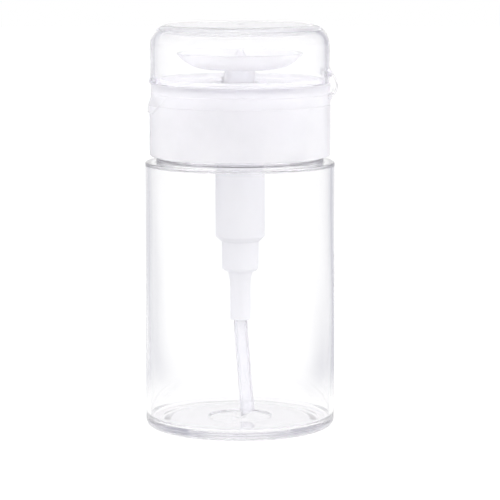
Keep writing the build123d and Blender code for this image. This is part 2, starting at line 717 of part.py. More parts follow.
def spring_points():
    """Points on the coil's centre line, a quarter turn apart, with close turns at both ends."""
    quarters = 4
    steps = SPRING_TURNS * quarters
    low = SPRING_BOTTOM + WIRE_DIAMETER / 2 + SPRING_SEAT_GAP
    high = PLUG_FLANGE_BOTTOM - WIRE_DIAMETER / 2 - SPRING_SEAT_GAP
    open_rise = (high - low - 2 * SPRING_END_PITCH) / (SPRING_TURNS - 2) / quarters
    radius = SPRING_MEAN_DIAMETER / 2
    points = []
    height = low
    for step in range(steps + 1):
        angle = 2 * math.pi * step / quarters
        points.append(Vector(radius * math.cos(angle), radius * math.sin(angle), height))
        in_end_turn = step < quarters or step >= steps - quarters
        height += SPRING_END_PITCH / quarters if in_end_turn else open_rise
    return points


def make_spring():
    """The return spring, one unbroken wire swept along biarcs of a quarter turn."""
    points = spring_points()
    ways = []
    for index, point in enumerate(points):
        before = points[max(index - 1, 0)]
        after = points[min(index + 1, len(points) - 1)]
        gap = min(index + 1, len(points) - 1) - max(index - 1, 0)
        climb = (after.Z - before.Z) / gap * 2 / math.pi
        ways.append(Vector(-point.Y, point.X, climb).normalized())
    edges = []
    for index in range(len(points) - 1):
        edges += biarc(points[index], ways[index], points[index + 1], ways[index + 1])
    path = Wire(edges)
    section = Plane(origin=points[0], z_dir=ways[0]) * Circle(WIRE_DIAMETER / 2)
    coil = sweep(section, path=path)
    gap = least_self_gap(path)
    print(f"spring: least gap between turns {gap:.2f} mm, wire length {path.length:.1f} mm")
    return coil


def least_self_gap(path):
    """The least clear distance between the wire's own turns, measured on points along it."""
    per_turn = 48
    count = SPRING_TURNS * per_turn
    samples = [path @ (index / count) for index in range(count + 1)]
    nearest = min(
        (samples[first] - samples[second]).length
        for first in range(count + 1)
        for second in range(first + per_turn // 2, count + 1)
    )
    return nearest - WIRE_DIAMETER


def make_cage():
    """The cage over the inlet ball, whose flange lies on the barrel's step under the spring."""
    flange = BARREL_BORE - CAGE_FLANGE_CLEARANCE
    outer = VALVE_BORE - CAGE_TUBE_CLEARANCE
    inner = outer - CAGE_WALL
    bottom = BARREL_STEP - CAGE_DEPTH
    cage = turned(
        (0, bottom),
        (outer, bottom),
        (outer, BARREL_STEP),
        (flange, BARREL_STEP),
        (flange, SPRING_BOTTOM),
        (inner, SPRING_BOTTOM),
        (inner, bottom + CAGE_PLATE),
        (0, bottom + CAGE_PLATE),
    )
    hole = Pos(inner / 2, 0, bottom) * Cylinder(CAGE_HOLE_DIAMETER / 2, CAGE_PLATE + OVERRUN)
    for index in range(CAGE_HOLE_COUNT):
        cage -= Rot(0, 0, 360 * index / CAGE_HOLE_COUNT) * hole
    return cage


def seated_ball(diameter, hole, seat_bottom):
    """A valve ball that lies just clear of a 45 degree seat above a hole."""
    radius = diameter / 2
    height = seat_bottom - hole + math.sqrt(2) * (radius + BALL_SEAT_CLEARANCE)
    return Pos(0, 0, height) * Sphere(radius)


def make_dip_tube():
    """The dip tube: straight in its socket, then bent to one side, cut at a slant at its foot."""
    tip_drop = TUBE_DIAMETER / 2 * math.tan(math.radians(TUBE_CUT_ANGLE))
    cut_height = FLOOR_HEIGHT + TUBE_FLOOR_GAP + tip_drop
    drop = SOCKET_BOTTOM - cut_height + TUBE_DIAMETER / 2
    share = TUBE_MIDWAY_SHARE
    exit_length = TUBE_DIAMETER / 2
    points = [
        (0, 0, TUBE_TOP),
        (0, 0, SOCKET_BOTTOM - exit_length),
        (TUBE_LEAN_X * share, TUBE_LEAN_Y * share, SOCKET_BOTTOM - drop / 2),
        (TUBE_LEAN_X, TUBE_LEAN_Y, SOCKET_BOTTOM - drop),
    ]
    corners = [Vector(point) for point in points]
    below_middle = (corners[3] - corners[2]).length * TUBE_BEND_SHARE
    radii = []
    for index, reach in ((1, exit_length), (2, below_middle)):
        arriving = corners[index] - corners[index - 1]
        leaving = corners[index + 1] - corners[index]
        turn = math.radians(arriving.get_angle(leaving))
        radii.append(reach / math.tan(turn / 2))
    print("dip tube: bend radii", [round(radius, 1) for radius in radii], "mm")
    path = FilletPolyline(*points, radius=radii)
    outer = TUBE_DIAMETER / 2
    section = Pos(0, 0, TUBE_TOP) * (Circle(outer) - Circle(outer - TUBE_WALL))
    tube = sweep(section, path=path)
    slant = Plane(
        origin=corners[-1] + Vector(0, 0, outer),
        z_dir=Vector(0, 0, -1).rotate(Axis.Y, TUBE_CUT_ANGLE),
    )
    cutter = slant * Pos(0, 0, BODY_RADIUS / 2) * Box(BODY_RADIUS, BODY_RADIUS, BODY_RADIUS)
    return tube - cutter


def make_parts():
    """Every piece of the object, by the name of its node."""
    return {
        "bottle": make_bottle(),
        "closure_collar": make_collar(),
        "flip_lid": make_lid(),
        "hinge_strap": make_strap(),
        "bottle_gasket": make_gasket(),
        "pump_housing": make_housing(),
        "stem_guide": make_guide(),
        "stem_wiper": make_wiper(),
        "dish": make_dish(),
        "outlet_nozzle": make_nozzle(),
        "pump_stem": make_stem(),
        "piston_seal": make_seal(),
        "piston_plug": make_plug(),
        "return_spring": make_spring(),
        "ball_cage": make_cage(),
        "inlet_ball": seated_ball(INLET_BALL_DIAMETER, INLET_RADIUS, SEAT_BOTTOM),
        "outlet_ball": seated_ball(OUTLET_BALL_DIAMETER, OUTLET_HOLE, OUTLET_SEAT),
        "dip_tube": make_dip_tube(),
    }


def main():
    """Builds the pieces, writes one file for each and prints the places the joints need."""
    os.makedirs("parts", exist_ok=True)
    for name, shape in make_parts().items():
        export_step(shape, f"parts/{name}.step")
    print(f"lid top {LID_TOP:.3f}, seam {SEAM:.3f}, deck top {DECK_TOP:.3f}")
    print(f"lid hinge axis x {HINGE_REACH:.3f}, z {HINGE_HEIGHT:.3f}")
    print(f"spring from {SPRING_BOTTOM:.3f} to {PLUG_FLANGE_BOTTOM:.3f}")
    inlet_lift = BARREL_STEP - CAGE_DEPTH - SEAT_BOTTOM + INLET_RADIUS
    inlet_lift -= math.sqrt(2) * (INLET_BALL_DIAMETER / 2 + BALL_SEAT_CLEARANCE)
    inlet_lift -= INLET_BALL_DIAMETER / 2
    outlet_lift = BOSS_TOP - NOZZLE_SPIGOT_LENGTH - OUTLET_SEAT + OUTLET_HOLE
    outlet_lift -= math.sqrt(2) * (OUTLET_BALL_DIAMETER / 2 + BALL_SEAT_CLEARANCE)
    outlet_lift -= OUTLET_BALL_DIAMETER / 2
    print(f"free lift of the inlet ball {inlet_lift:.3f}, of the outlet ball {outlet_lift:.3f}")


if __name__ == "__main__":
    main()
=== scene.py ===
"""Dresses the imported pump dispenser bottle: fine meshes, moulded finishes, light and camera.

Sizes are in millimetres until a mesh is made, and heights are above the surface that the bottle
stands on. Heights come from the frame's nodes, so a piece follows the solid that it stands for.
"""

import json
import logging
import math
from collections.abc import Callable, Sequence
from dataclasses import dataclass
from enum import Enum

import bpy
import numpy as np
from numpy.typing import NDArray
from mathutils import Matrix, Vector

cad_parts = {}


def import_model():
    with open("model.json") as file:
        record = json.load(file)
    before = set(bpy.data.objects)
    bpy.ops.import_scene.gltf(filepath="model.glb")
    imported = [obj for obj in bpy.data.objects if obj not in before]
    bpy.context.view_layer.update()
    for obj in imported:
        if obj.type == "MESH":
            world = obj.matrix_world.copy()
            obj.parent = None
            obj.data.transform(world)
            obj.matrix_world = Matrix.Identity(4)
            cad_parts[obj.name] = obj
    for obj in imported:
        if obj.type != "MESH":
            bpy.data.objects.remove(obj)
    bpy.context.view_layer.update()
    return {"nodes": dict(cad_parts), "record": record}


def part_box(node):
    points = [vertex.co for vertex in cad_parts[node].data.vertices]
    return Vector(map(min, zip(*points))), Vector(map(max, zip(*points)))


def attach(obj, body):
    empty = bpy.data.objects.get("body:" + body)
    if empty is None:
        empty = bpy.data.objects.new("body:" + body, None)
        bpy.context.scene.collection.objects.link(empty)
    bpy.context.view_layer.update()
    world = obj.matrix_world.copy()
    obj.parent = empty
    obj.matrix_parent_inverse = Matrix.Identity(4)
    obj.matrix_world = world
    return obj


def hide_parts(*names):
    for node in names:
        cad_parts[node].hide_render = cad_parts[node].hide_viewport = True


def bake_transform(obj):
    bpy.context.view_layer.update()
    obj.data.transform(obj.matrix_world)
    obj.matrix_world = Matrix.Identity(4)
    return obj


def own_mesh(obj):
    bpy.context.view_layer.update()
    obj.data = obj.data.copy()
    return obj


LOG = logging.getLogger("bottle")
MM = 0.001
TURN = 2 * math.pi
NEAR = 0.01  # how far off a wall's radius a point may be and still be on the wall
FLAT_TURN = math.radians(3)  # a corner that turns less than this stays sharp
ARC_STEP = math.radians(14)  # how far a fillet turns from point to point, at most
ARC_SHARE = 0.45  # how much of a side beside it a fillet takes up, at most
SUPPORT = 0.2  # how far the support rows of a straight run stand from its ends
SHORT_RUN = 0.3  # a straight run shorter than this gets no rows
HAIR = 0.15  # how far columns stand to both sides of a feature's edge, in degrees
WIDE_COLUMNS = 192  # even columns round the pieces that are as wide as the bottle
NOISE_MIDDLE = (0.3, 0.7)  # most of a noise's values lie between these

Array = NDArray[np.float64]
Relief = Callable[[Array, Array, Array], Array]
Colour = tuple[float, float, float]


class Slot(Enum):
    """The record's material slots."""

    BOTTLE = "clear_bottle"
    CLOSURE = "natural_closure"
    LID = "natural_lid"
    DISH = "dish"
    PUMP = "pump_body"
    TUBE = "clear_tube"
    SEAL = "soft_seal"
    FOAM = "foam"
    WIRE = "spring_steel"
    BALL = "ball_glass"


class Body(Enum):
    """The bodies of the frame that pieces ride on."""

    BOTTLE = "bottle"
    PUMP = "pump"
    CLOSURE = "closure"
    LID = "lid"
    PLUNGER = "plunger"


@dataclass(frozen=True)
class Corner:
    """A corner of a turned profile: radius, height and the fillet that rounds it."""

    radius: float
    height: float
    fillet: float = 0.08


@dataclass(frozen=True)
class Fine:
    """A straight run of a profile that gets close rows: its radius, its heights and their step."""

    radius: float
    low: float
    high: float
    step: float


def smooth(value: Array, low: float, high: float) -> Array:
    """A smooth step: 3 t^2 - 2 t^3, where t runs from 0 at low to 1 at high."""
    t = np.clip((value - low) / (high - low), 0.0, 1.0)
    return t * t * (3.0 - 2.0 * t)


def rounded(before: Array, here: Array, after: Array, fillet: float) -> Array:
    """The points that round one corner.

    With a and b the unit directions to the neighbours and h half the angle between them, the arc's
    centre is P + (a + b) / |a + b| * f / sin h, and the arc leaves both sides f / tan h from P.

    Args:
        before: The corner before, as radius and height.
        here: The corner itself.
        after: The corner after.
        fillet: The arc's radius.

    Returns:
        The arc's points in order, or the corner alone where the line hardly turns.
    """
    arriving, leaving = before - here, after - here
    long_a, long_b = np.hypot(*arriving), np.hypot(*leaving)
    a, b = arriving / long_a, leaving / long_b
    half = math.acos(float(np.clip(a @ b, -1.0, 1.0))) / 2
    sweep = math.pi - 2 * half
    if sweep < FLAT_TURN or fillet <= 0:
        return here[None, :]
    radius = min(fillet, ARC_SHARE * min(long_a, long_b) * math.tan(half))
    centre = here + (a + b) / np.hypot(*(a + b)) * radius / math.sin(half)
    across, up = here + a * radius / math.tan(half) - centre
    side = math.copysign(1.0, across * (here - centre)[1] - up * (here - centre)[0])
    turn = side * np.linspace(0.0, sweep, max(3, math.ceil(sweep / ARC_STEP) + 1))
    cos, sin = np.cos(turn), np.sin(turn)
    return centre + np.stack([across * cos - up * sin, across * sin + up * cos], axis=1)


def run_shares(start: Array, end: Array, fine: Sequence[Fine]) -> Array:
    """Where a straight run of a profile gets rows, as shares of its length.

    Two rows stand close to the ends, so that the smooth shading of a fillet stops there, and a
    run that a Fine names gets rows at its step.

    Args:
        start: The run's first point.
        end: The run's last point.
        fine: The runs that need close rows.

    Returns:
        The shares, without 0 and 1.
    """
    length = float(np.hypot(*(end - start)))
    if length < SHORT_RUN:
        return np.empty(0)
    support = min(SUPPORT, length / 4) / length
    shares = [support, 1 - support]
    for zone in fine:
        on_run = abs(start[0] - zone.radius) < NEAR and abs(end[0] - zone.radius) < NEAR
        if on_run and length > zone.step:
            heights = np.arange(zone.low, zone.high, zone.step)
            found = (heights - start[1]) / (end[1] - start[1])
            shares += list(found[(found > support) & (found < 1 - support)])
    return np.unique(shares)


def outline(corners: Sequence[Corner], closed: bool, fine: Sequence[Fine] = ()) -> Array:
    """A profile's points, with every corner rounded and rows added on its straight runs.

    Args:
        corners: The corners in order.
        closed: True for a ring's closed profile, False where both ends lie on the axis.
        fine: The runs that need close rows.

    Returns:
        An array of radius and height, one row for each point.
    """
    places = np.array([(c.radius, c.height) for c in corners])
    count = len(corners)
    arcs = []
    for index, corner in enumerate(corners):
        if not closed and index in (0, count - 1):
            arcs.append(places[index][None, :])
            continue
        before, after = places[index - 1], places[(index + 1) % count]
        arcs.append(rounded(before, places[index], after, corner.fillet))
    pieces = []
    for index, arc in enumerate(arcs):
        pieces.append(arc)
        if closed or index < count - 1:
            start, end = arc[-1], arcs[(index + 1) % count][0]
            shares = run_shares(start, end, fine)
            pieces.append(start + (end - start) * shares[:, None])
    return np.concatenate(pieces)


def columns(count: int, *marks: float) -> Array:
    """Angles round the axis: even ones, and pairs a hair apart at the edges of raised features.

    Args:
        count: How many even columns.
        marks: The angles of the edges, in degrees.

    Returns:
        The sorted angles in radians, from 0 up to a full turn.
    """
    even = np.arange(count) * TURN / count
    pairs = [math.radians(mark + offset) for mark in marks for offset in (-HAIR, HAIR)]
    return np.unique(np.round(np.mod(np.concatenate([even, pairs]), TURN), 6))


def grid_faces(rows: int, across: int, close_rows: bool) -> NDArray[np.int64]:
    """Quads of a grid that is closed across, and along too if asked, as vertex numbers."""
    row = np.arange(rows if close_rows else rows - 1)[:, None]
    col = np.arange(across)[None, :]
    here, there = row * across, (row + 1) % rows * across
    right = (col + 1) % across
    quads = np.stack([here + col, here + right, there + right, there + col], axis=-1)
    return quads.reshape(-1, 4)


def signed_volume(points: Array, faces: list[list[int]]) -> float:
    """The volume inside a closed mesh, negative where its faces point inwards."""
    total = 0.0
    for size in {len(face) for face in faces}:
        group = np.array([face for face in faces if len(face) == size])
        for second in range(1, size - 1):
            a, b, c = (points[group[:, k]] for k in (0, second, second + 1))
            total += float(np.einsum("ij,ij->i", a, np.cross(b, c)).sum()) / 6
    return total


def placed(name: str, data: bpy.types.ID) -> bpy.types.Object:
    """Puts an object that shows this data into the scene, at the origin."""
    made = bpy.data.objects.new(name, data)
    bpy.context.scene.collection.objects.link(made)
    return made


def make_piece(name: str, points: Array, faces: list[list[int]]) -> bpy.types.Object:
    """Puts a closed mesh into the scene with its faces pointing out and smooth shading.

    Args:
        name: The piece's name.
        points: Its vertices in millimetres.
        faces: Its faces as vertex numbers.

    Returns:
        The new object, at the origin.
    """
    if signed_volume(points, faces) < 0:
        faces = [face[::-1] for face in faces]
    mesh = bpy.data.meshes.new(name)
    mesh.from_pydata((points * MM).tolist(), [], faces)
    mesh.polygons.foreach_set("use_smooth", np.ones(len(faces), dtype=bool))
    mesh.update()
    return placed(name, mesh)


def turned(profile: Array, angles: Array, relief: Relief | None) -> Array:
    """A profile's points turned about the axis: x = r cos a, y = r sin a, z = h.

    Args:
        profile: Radius and height of each profile point.
        angles: The columns' angles.
        relief: What changes the radius, from radius, height and angle.

    Returns:
        The points, ring after ring.
    """
    radius = np.repeat(profile[:, :1], len(angles), axis=1)
    height = np.repeat(profile[:, 1:], len(angles), axis=1)
    angle = np.repeat(angles[None, :], len(profile), axis=0)
    if relief is not None:
        radius = relief(radius, height, angle)
    points = np.stack([radius * np.cos(angle), radius * np.sin(angle), height], axis=-1)
    return points.reshape(-1, 3)


def turn_ring(
    name: str, profile: Array, angles: Array, relief: Relief | None = None
) -> bpy.types.Object:
    """A piece from a closed profile turned about the axis."""
    faces = grid_faces(len(profile), len(angles), close_rows=True)
    return make_piece(name, turned(profile, angles, relief), faces.tolist())


def turn_cup(
    name: str, profile: Array, angles: Array, relief: Relief | None = None
) -> bpy.types.Object:
    """A piece from a profile whose two ends lie on the axis, where it closes in a pole."""
    inner = profile[1:-1]
    points = turned(inner, angles, relief)
    across = len(angles)
    poles = np.array([(0.0, 0.0, profile[0, 1]), (0.0, 0.0, profile[-1, 1])])
    low, high = len(points), len(points) + 1
    last = len(points) - across
    faces = grid_faces(len(inner), across, close_rows=False).tolist()
    for column in range(across):
        right = (column + 1) % across
        faces.append([low, right, column])
        faces.append([high, last + column, last + right])
    return make_piece(name, np.concatenate([points, poles]), faces)


def swept(path: Array, side: Array, other: Array, loop: Array) -> Array:
    """A loop's points at each point of a path: path + u side + v other.

    Args:
        path: The path's points.
        side: The first unit direction of the loop's plane at each path point.
        other: The second one.
        loop: The loop's points u and v.

    Returns:
        The points, by path point and loop point.
    """
    return (
        path[:, None, :]
        + loop[None, :, :1] * side[:, None, :]
        + loop[None, :, 1:] * other[:, None, :]
    )


def carry(name: str, path: Array, side: Array, other: Array, loop: Array) -> bpy.types.Object:
    """A piece from a closed loop swept along a path, with flat ends."""
    points = swept(path, side, other, loop)
    rows, across = points.shape[:2]
    faces = grid_faces(rows, across, close_rows=False).tolist()
    faces.append(list(range(across))[::-1])
    faces.append(list(range((rows - 1) * across, rows * across)))
    return make_piece(name, points.reshape(-1, 3), faces)


def circle(radius: float, count: int) -> Array:
    """Points on a circle, r cos t and r sin t."""
    turn = np.arange(count) * TURN / count
    return radius * np.stack([np.cos(turn), np.sin(turn)], axis=1)


def flat_radius(face: float, turn: Array) -> Array:
    """The radius of a flat face at an angle of up to 60 degrees from its middle."""
    return face / np.maximum(np.cos(turn), 0.5)


class Signal:
    """A socket of a shader graph, on which arithmetic adds Math nodes."""

    def __init__(self, graph: "Graph", socket: bpy.types.NodeSocket) -> None:
        """Wraps a node's output."""
        self.graph = graph
        self.socket = socket

    def math(self, operation: str, first: "Signal | float", second: "Signal | float") -> "Signal":
        """One Math node on two values."""
        return self.graph.node("ShaderNodeMath", {"operation": operation}, {0: first, 1: second})

    def __add__(self, other: "Signal | float") -> "Signal":
        """This plus another value."""
        return self.math("ADD", self, other)

    def __sub__(self, other: "Signal | float") -> "Signal":
        """This less another value."""
        return self.math("SUBTRACT", self, other)

    def __rsub__(self, other: float) -> "Signal":
        """A number less this."""
        return self.math("SUBTRACT", other, self)

    def __mul__(self, other: "Signal | float") -> "Signal":
        """This times another value."""
        return self.math("MULTIPLY", self, other)

    def __lt__(self, other: "Signal | float") -> "Signal":
        """1 where this is less than another value."""
        return self.math("LESS_THAN", self, other)

    def greater_of(self, other: "Signal | float") -> "Signal":
        """The greater of this and another value."""
        return self.math("MAXIMUM", self, other)

    def ramped(self, start: float, end: float, low: float = 0.0, high: float = 1.0) -> "Signal":
        """A smooth step of this from low at start to high at end."""
        return self.graph.node(
            "ShaderNodeMapRange",
            {"interpolation_type": "SMOOTHSTEP"},
            {"Value": self, "From Min": start, "From Max": end, "To Min": low, "To Max": high},
        )

    __radd__ = __add__
    __rmul__ = __mul__


class Graph:
    """A node tree that is written as expressions."""

    def __init__(self, tree: bpy.types.NodeTree) -> None:
        """Starts from an empty tree."""
        self.tree = tree
        tree.nodes.clear()

    def node(
        self,
        kind: str,
        settings: dict[str, object] | None = None,
        sockets: dict[str | int, object] | None = None,
        output: str | int = 0,
    ) -> Signal:
        """Adds a node.

        Args:
            kind: The node's type.
            settings: Its properties, which are set first.
            sockets: Values or signals for its inputs, by name or number.
            output: Which output the signal carries.

        Returns:
            The output as a signal.
        """
        made = self.tree.nodes.new(kind)
        for name, value in (settings or {}).items():
            setattr(made, name, value)
        for key, value in (sockets or {}).items():
            socket = made.inputs[key]
            if isinstance(value, Signal):
                self.tree.links.new(value.socket, socket)
            else:
                socket.default_value = value
        return Signal(self, made.outputs[output])

    def path(self, name: str) -> Signal:
        """One output of Light Path."""
        return self.node("ShaderNodeLightPath", output=name)

    def place(self) -> Signal:
        """The point on the piece, in metres from the bottle's foot."""
        return self.node("ShaderNodeTexCoord", output="Object")

    def stretched(self, scale: Colour) -> Signal:
        """The point on the piece, scaled along each axis."""
        sockets = {"Vector": self.place(), "Scale": scale}
        return self.node("ShaderNodeMapping", {"vector_type": "POINT"}, sockets)

    def vector(self, operation: str, *values: object, output: str | int = 0) -> Signal:
        """One Vector Math node."""
        settings = {"operation": operation}
        return self.node("ShaderNodeVectorMath", settings, dict(enumerate(values)), output)

    def noise(self, place: Signal, per_metre: float, detail: float = 2.0) -> Signal:
        """Cloudy noise from 0 to 1 with so many spots to the metre."""
        return self.node(
            "ShaderNodeTexNoise", {}, {"Vector": place, "Scale": per_metre, "Detail": detail}
        )

    def bump(self, height: Signal, depth_mm: float) -> Signal:
        """A normal that a height from 0 to 1 tilts, for a relief of so many millimetres."""
        sockets = {"Height": height, "Strength": 1.0, "Distance": depth_mm * MM}
        return self.node("ShaderNodeBump", {}, sockets)

    def mix(self, share: "Signal | float", first: Signal, second: Signal) -> Signal:
        """A Mix Shader: first where share is 0, second where it is 1."""
        return self.node("ShaderNodeMixShader", {}, {0: share, 1: first, 2: second})

    def tinted(self, share: "Signal | float", first: Colour, second: Colour) -> Signal:
        """A colour from first at share 0 to second at share 1."""
        return self.node(
            "ShaderNodeMix",
            {"data_type": "RGBA"},
            {0: share, 6: (*first, 1.0), 7: (*second, 1.0)},
            output=2,
        )

    def plastic(
        self,
        colour: "Signal | Colour",
        roughness: "Signal | float",
        ior: float,
        clear: float,
        normal: Signal,
    ) -> Signal:
        """A Principled shader for a moulding, clear from 0 to 1."""
        shade = colour if isinstance(colour, Signal) else (*colour, 1.0)
        return self.node(
            "ShaderNodeBsdfPrincipled",
            {},
            {
                "Base Color": shade,
                "Roughness": roughness,
                "IOR": ior,
                "Transmission Weight": clear,
                "Normal": normal,
            },
        )

    def finish(
        self, shader: Signal, kind: str = "ShaderNodeOutputMaterial", inside: Signal | None = None
    ) -> None:
        """Links the shader, and what fills the piece if anything does, to the tree's output."""
        made = self.tree.nodes.new(kind)
        self.tree.links.new(shader.socket, made.inputs["Surface"])
        if inside is not None:
            self.tree.links.new(inside.socket, made.inputs["Volume"])


def new_material(name: str) -> tuple[bpy.types.Material, Graph]:
    """An empty material and its graph."""
    material = bpy.data.materials.new(name)
    material.use_nodes = True
    return material, Graph(material.node_tree)


@dataclass(frozen=True)
class ClearPlastic:
    """See-through plastic: a body that bends light, with painted shade that deepens its tone where
    it is seen on edge, a milky share that scatters, a tone that deepens with the light's way
    inside, and the moulding's faint waves.

    A lamp's rays pass straight through, so that what is inside is lit. Between the band's heights,
    given in millimetres, the surface is softer and takes painted shade: the band's share of the
    edge's painted shade, all round. Above the veil's height its milky share is at least the veil's.
    """

    name: str
    tint: Colour
    # The next two fields paint shade on edges: a darker tint, and the facing range over which it
    # comes in.
    painted_edge_shade_tint: Colour
    rim: tuple[float, float]
    ior: float
    roughness: float
    haze: tuple[float, float]
    haze_tint: Colour
    shade: Colour
    depth_tint: Colour
    depth_per_metre: float
    wave_mm: float
    wave_depth_mm: float
    flow: Colour = (1.0, 1.0, 1.0)
    # The band: heights where shade is painted all round, with a softer surface there.
    band: tuple[float, float] | None = None
    band_roughness: float = 0.3
    band_fade_mm: float = 0.2
    painted_shade_share: float = 1.0
    veil: tuple[float, float] | None = None
    veil_fade_mm: float = 0.06
    haze_roughness: float = 0.4
    haze_glow: float = 0.5
    cloud_waves: float = 4.0
    rough_levels: tuple[float, float] = (0.35, 0.75)
    rough_shares: tuple[float, float] = (0.7, 1.4)

    def height(self, g: Graph) -> Signal:
        """The height on the piece, in metres."""
        return g.node("ShaderNodeSeparateXYZ", {}, {"Vector": g.place()}, "Z")

    def in_painted_shade_band(self, g: Graph) -> "Signal | float":
        """1 between the band's heights, where shade is painted, fading to 0 beyond them."""
        if self.band is None:
            return 0.0
        height = self.height(g)
        low, high = (mark * MM for mark in self.band)
        fade = self.band_fade_mm * MM
        above = height.ramped(low - fade, low + fade)
        return above * height.ramped(high - fade / 2, high, 1.0, 0.0)

    def milky_share(self, g: Graph, cloud: Signal) -> Signal:
        """How much of the surface scatters: the clouded haze, or the veil where that is more."""
        share = cloud.ramped(*NOISE_MIDDLE, *self.haze)
        if self.veil is None:
            return share
        start, amount = self.veil
        return share.greater_of(
            self.height(g).ramped(start * MM, (start + self.veil_fade_mm) * MM, 0.0, amount)
        )

    def material(self) -> bpy.types.Material:
        """Builds the material."""
        material, g = new_material(self.name)
        waves = g.noise(g.stretched(self.flow), 1 / (self.wave_mm * MM), 1.5)
        normal = g.bump(waves, self.wave_depth_mm)
        cloud = g.noise(g.stretched(self.flow), 1 / (self.cloud_waves * self.wave_mm * MM), 3.0)
        # Painted shade: this mask mixes the darker rim copy in all round between the band's
        # heights.
        band = self.in_painted_shade_band(g)
        spread = (self.roughness * share for share in self.rough_shares)
        rough = cloud.ramped(*self.rough_levels, *spread)
        rough = rough.greater_of(self.band_roughness * band)
        # Painted shade: edge, the facing, mixes in rim, a darker copy of the body, where the
        # surface is seen on edge.
        edge = g.node("ShaderNodeLayerWeight", {}, {"Blend": 0.5, "Normal": normal}, "Facing")
        body = g.plastic(self.tint, rough, self.ior, 1.0, normal)
        rim = g.plastic(self.painted_edge_shade_tint, rough, self.ior, 1.0, normal)
        clear = g.mix(edge.ramped(*self.rim).greater_of(self.painted_shade_share * band), body, rim)
        skin = g.plastic(self.haze_tint, self.haze_roughness, self.ior, 0.0, normal)
        haze = {"Color": (*self.haze_tint, 1.0), "Normal": normal}
        milk = g.mix(self.haze_glow, skin, g.node("ShaderNodeBsdfTranslucent", {}, haze))
        hazy = g.mix(self.milky_share(g, cloud), clear, milk)
        open_to_lamps = g.node("ShaderNodeBsdfTransparent", {}, {"Color": (*self.shade, 1.0)})
        depth = g.node(
            "ShaderNodeVolumeAbsorption",
            {},
            {"Color": (*self.depth_tint, 1.0), "Density": self.depth_per_metre},
        )
        g.finish(g.mix(g.path("Is Shadow Ray"), hazy, open_to_lamps), inside=depth)
        return material


@dataclass(frozen=True)
class MilkyPlastic:
    """Dense natural plastic: a satin skin over a body that light soaks through."""

    name: str
    tint: Colour
    deep_tint: Colour
    roughness: float
    glow: float
    grain_mm: float
    grain_depth_mm: float
    flow_grains: float = 9.0
    rough_shares: tuple[float, float] = (0.85, 1.2)
    ior: float = 1.5

    def material(self) -> bpy.types.Material:
        """Builds the material."""
        material, g = new_material(self.name)
        grain = g.noise(g.place(), 1 / (self.grain_mm * MM), 3.0)
        patches = 1 / (self.flow_grains * self.grain_mm * MM)
        flow = g.noise(g.stretched((1.0, 1.0, 0.25)), patches, 2.0)
        normal = g.bump(grain, self.grain_depth_mm)
        colour = g.tinted(flow.ramped(*NOISE_MIDDLE), self.tint, self.deep_tint)
        spread = (self.roughness * share for share in self.rough_shares)
        rough = grain.ramped(*NOISE_MIDDLE, *spread)
        skin = g.plastic(colour, rough, self.ior, 0.0, normal)
        through = g.node("ShaderNodeBsdfTranslucent", {}, {"Color": colour, "Normal": normal})
        g.finish(g.mix(self.glow, skin, through))
        return material


@dataclass(frozen=True)
class FoamSheet:
    """Closed-cell foam: small cells pressed into a matt white sheet, with painted shade in their
    hollows.
    """

    name: str
    tint: Colour
    cell_hollow_shade_tint: Colour
    cell_mm: float
    cell_depth_mm: float = 0.06
    cell_softness: float = 0.4
    cell_levels: tuple[float, float] = (0.15, 0.6)
    roughness: float = 0.85
    ior: float = 1.45

    def material(self) -> bpy.types.Material:
        """Builds the material."""
        material, g = new_material(self.name)
        scale = 1 / (self.cell_mm * MM)
        sockets = {"Vector": g.place(), "Scale": scale, "Smoothness": self.cell_softness}
        cells = g.node("ShaderNodeTexVoronoi", {"feature": "SMOOTH_F1"}, sockets, "Distance")
        # Painted shade: the cells' hollows take the darker cell colour; the same mask sets their
        # depth.
        hollow_and_painted_shade = cells.ramped(*self.cell_levels)
        colour = g.tinted(hollow_and_painted_shade, self.cell_hollow_shade_tint, self.tint)
        normal = g.bump(hollow_and_painted_shade, self.cell_depth_mm)
        g.finish(g.plastic(colour, self.roughness, self.ior, 0.0, normal))
        return material


@dataclass(frozen=True)
class DrawnWire:
    """Drawn stainless wire, with fine streaks along its length."""

    name: str
    tint: Colour
    streak_tint: Colour
    streak_mm: float = 0.9
    streak_depth_mm: float = 0.01
    streak_levels: tuple[float, float] = (0.35, 0.7)
    roughness: tuple[float, float] = (0.22, 0.38)

    def material(self) -> bpy.types.Material:
        """Builds the material."""
        material, g = new_material(self.name)
        streaks = g.noise(g.stretched((1.0, 1.0, 9.0)), 1 / (self.streak_mm * MM), 4.0)
        share = streaks.ramped(*self.streak_levels)
        sockets = {
            "Base Color": g.tinted(share, self.tint, self.streak_tint),
            "Metallic": 1.0,
            "Roughness": streaks.ramped(*NOISE_MIDDLE, *self.roughness),
            "Normal": g.bump(streaks, self.streak_depth_mm),
        }
        g.finish(g.node("ShaderNodeBsdfPrincipled", {}, sockets))
        return material


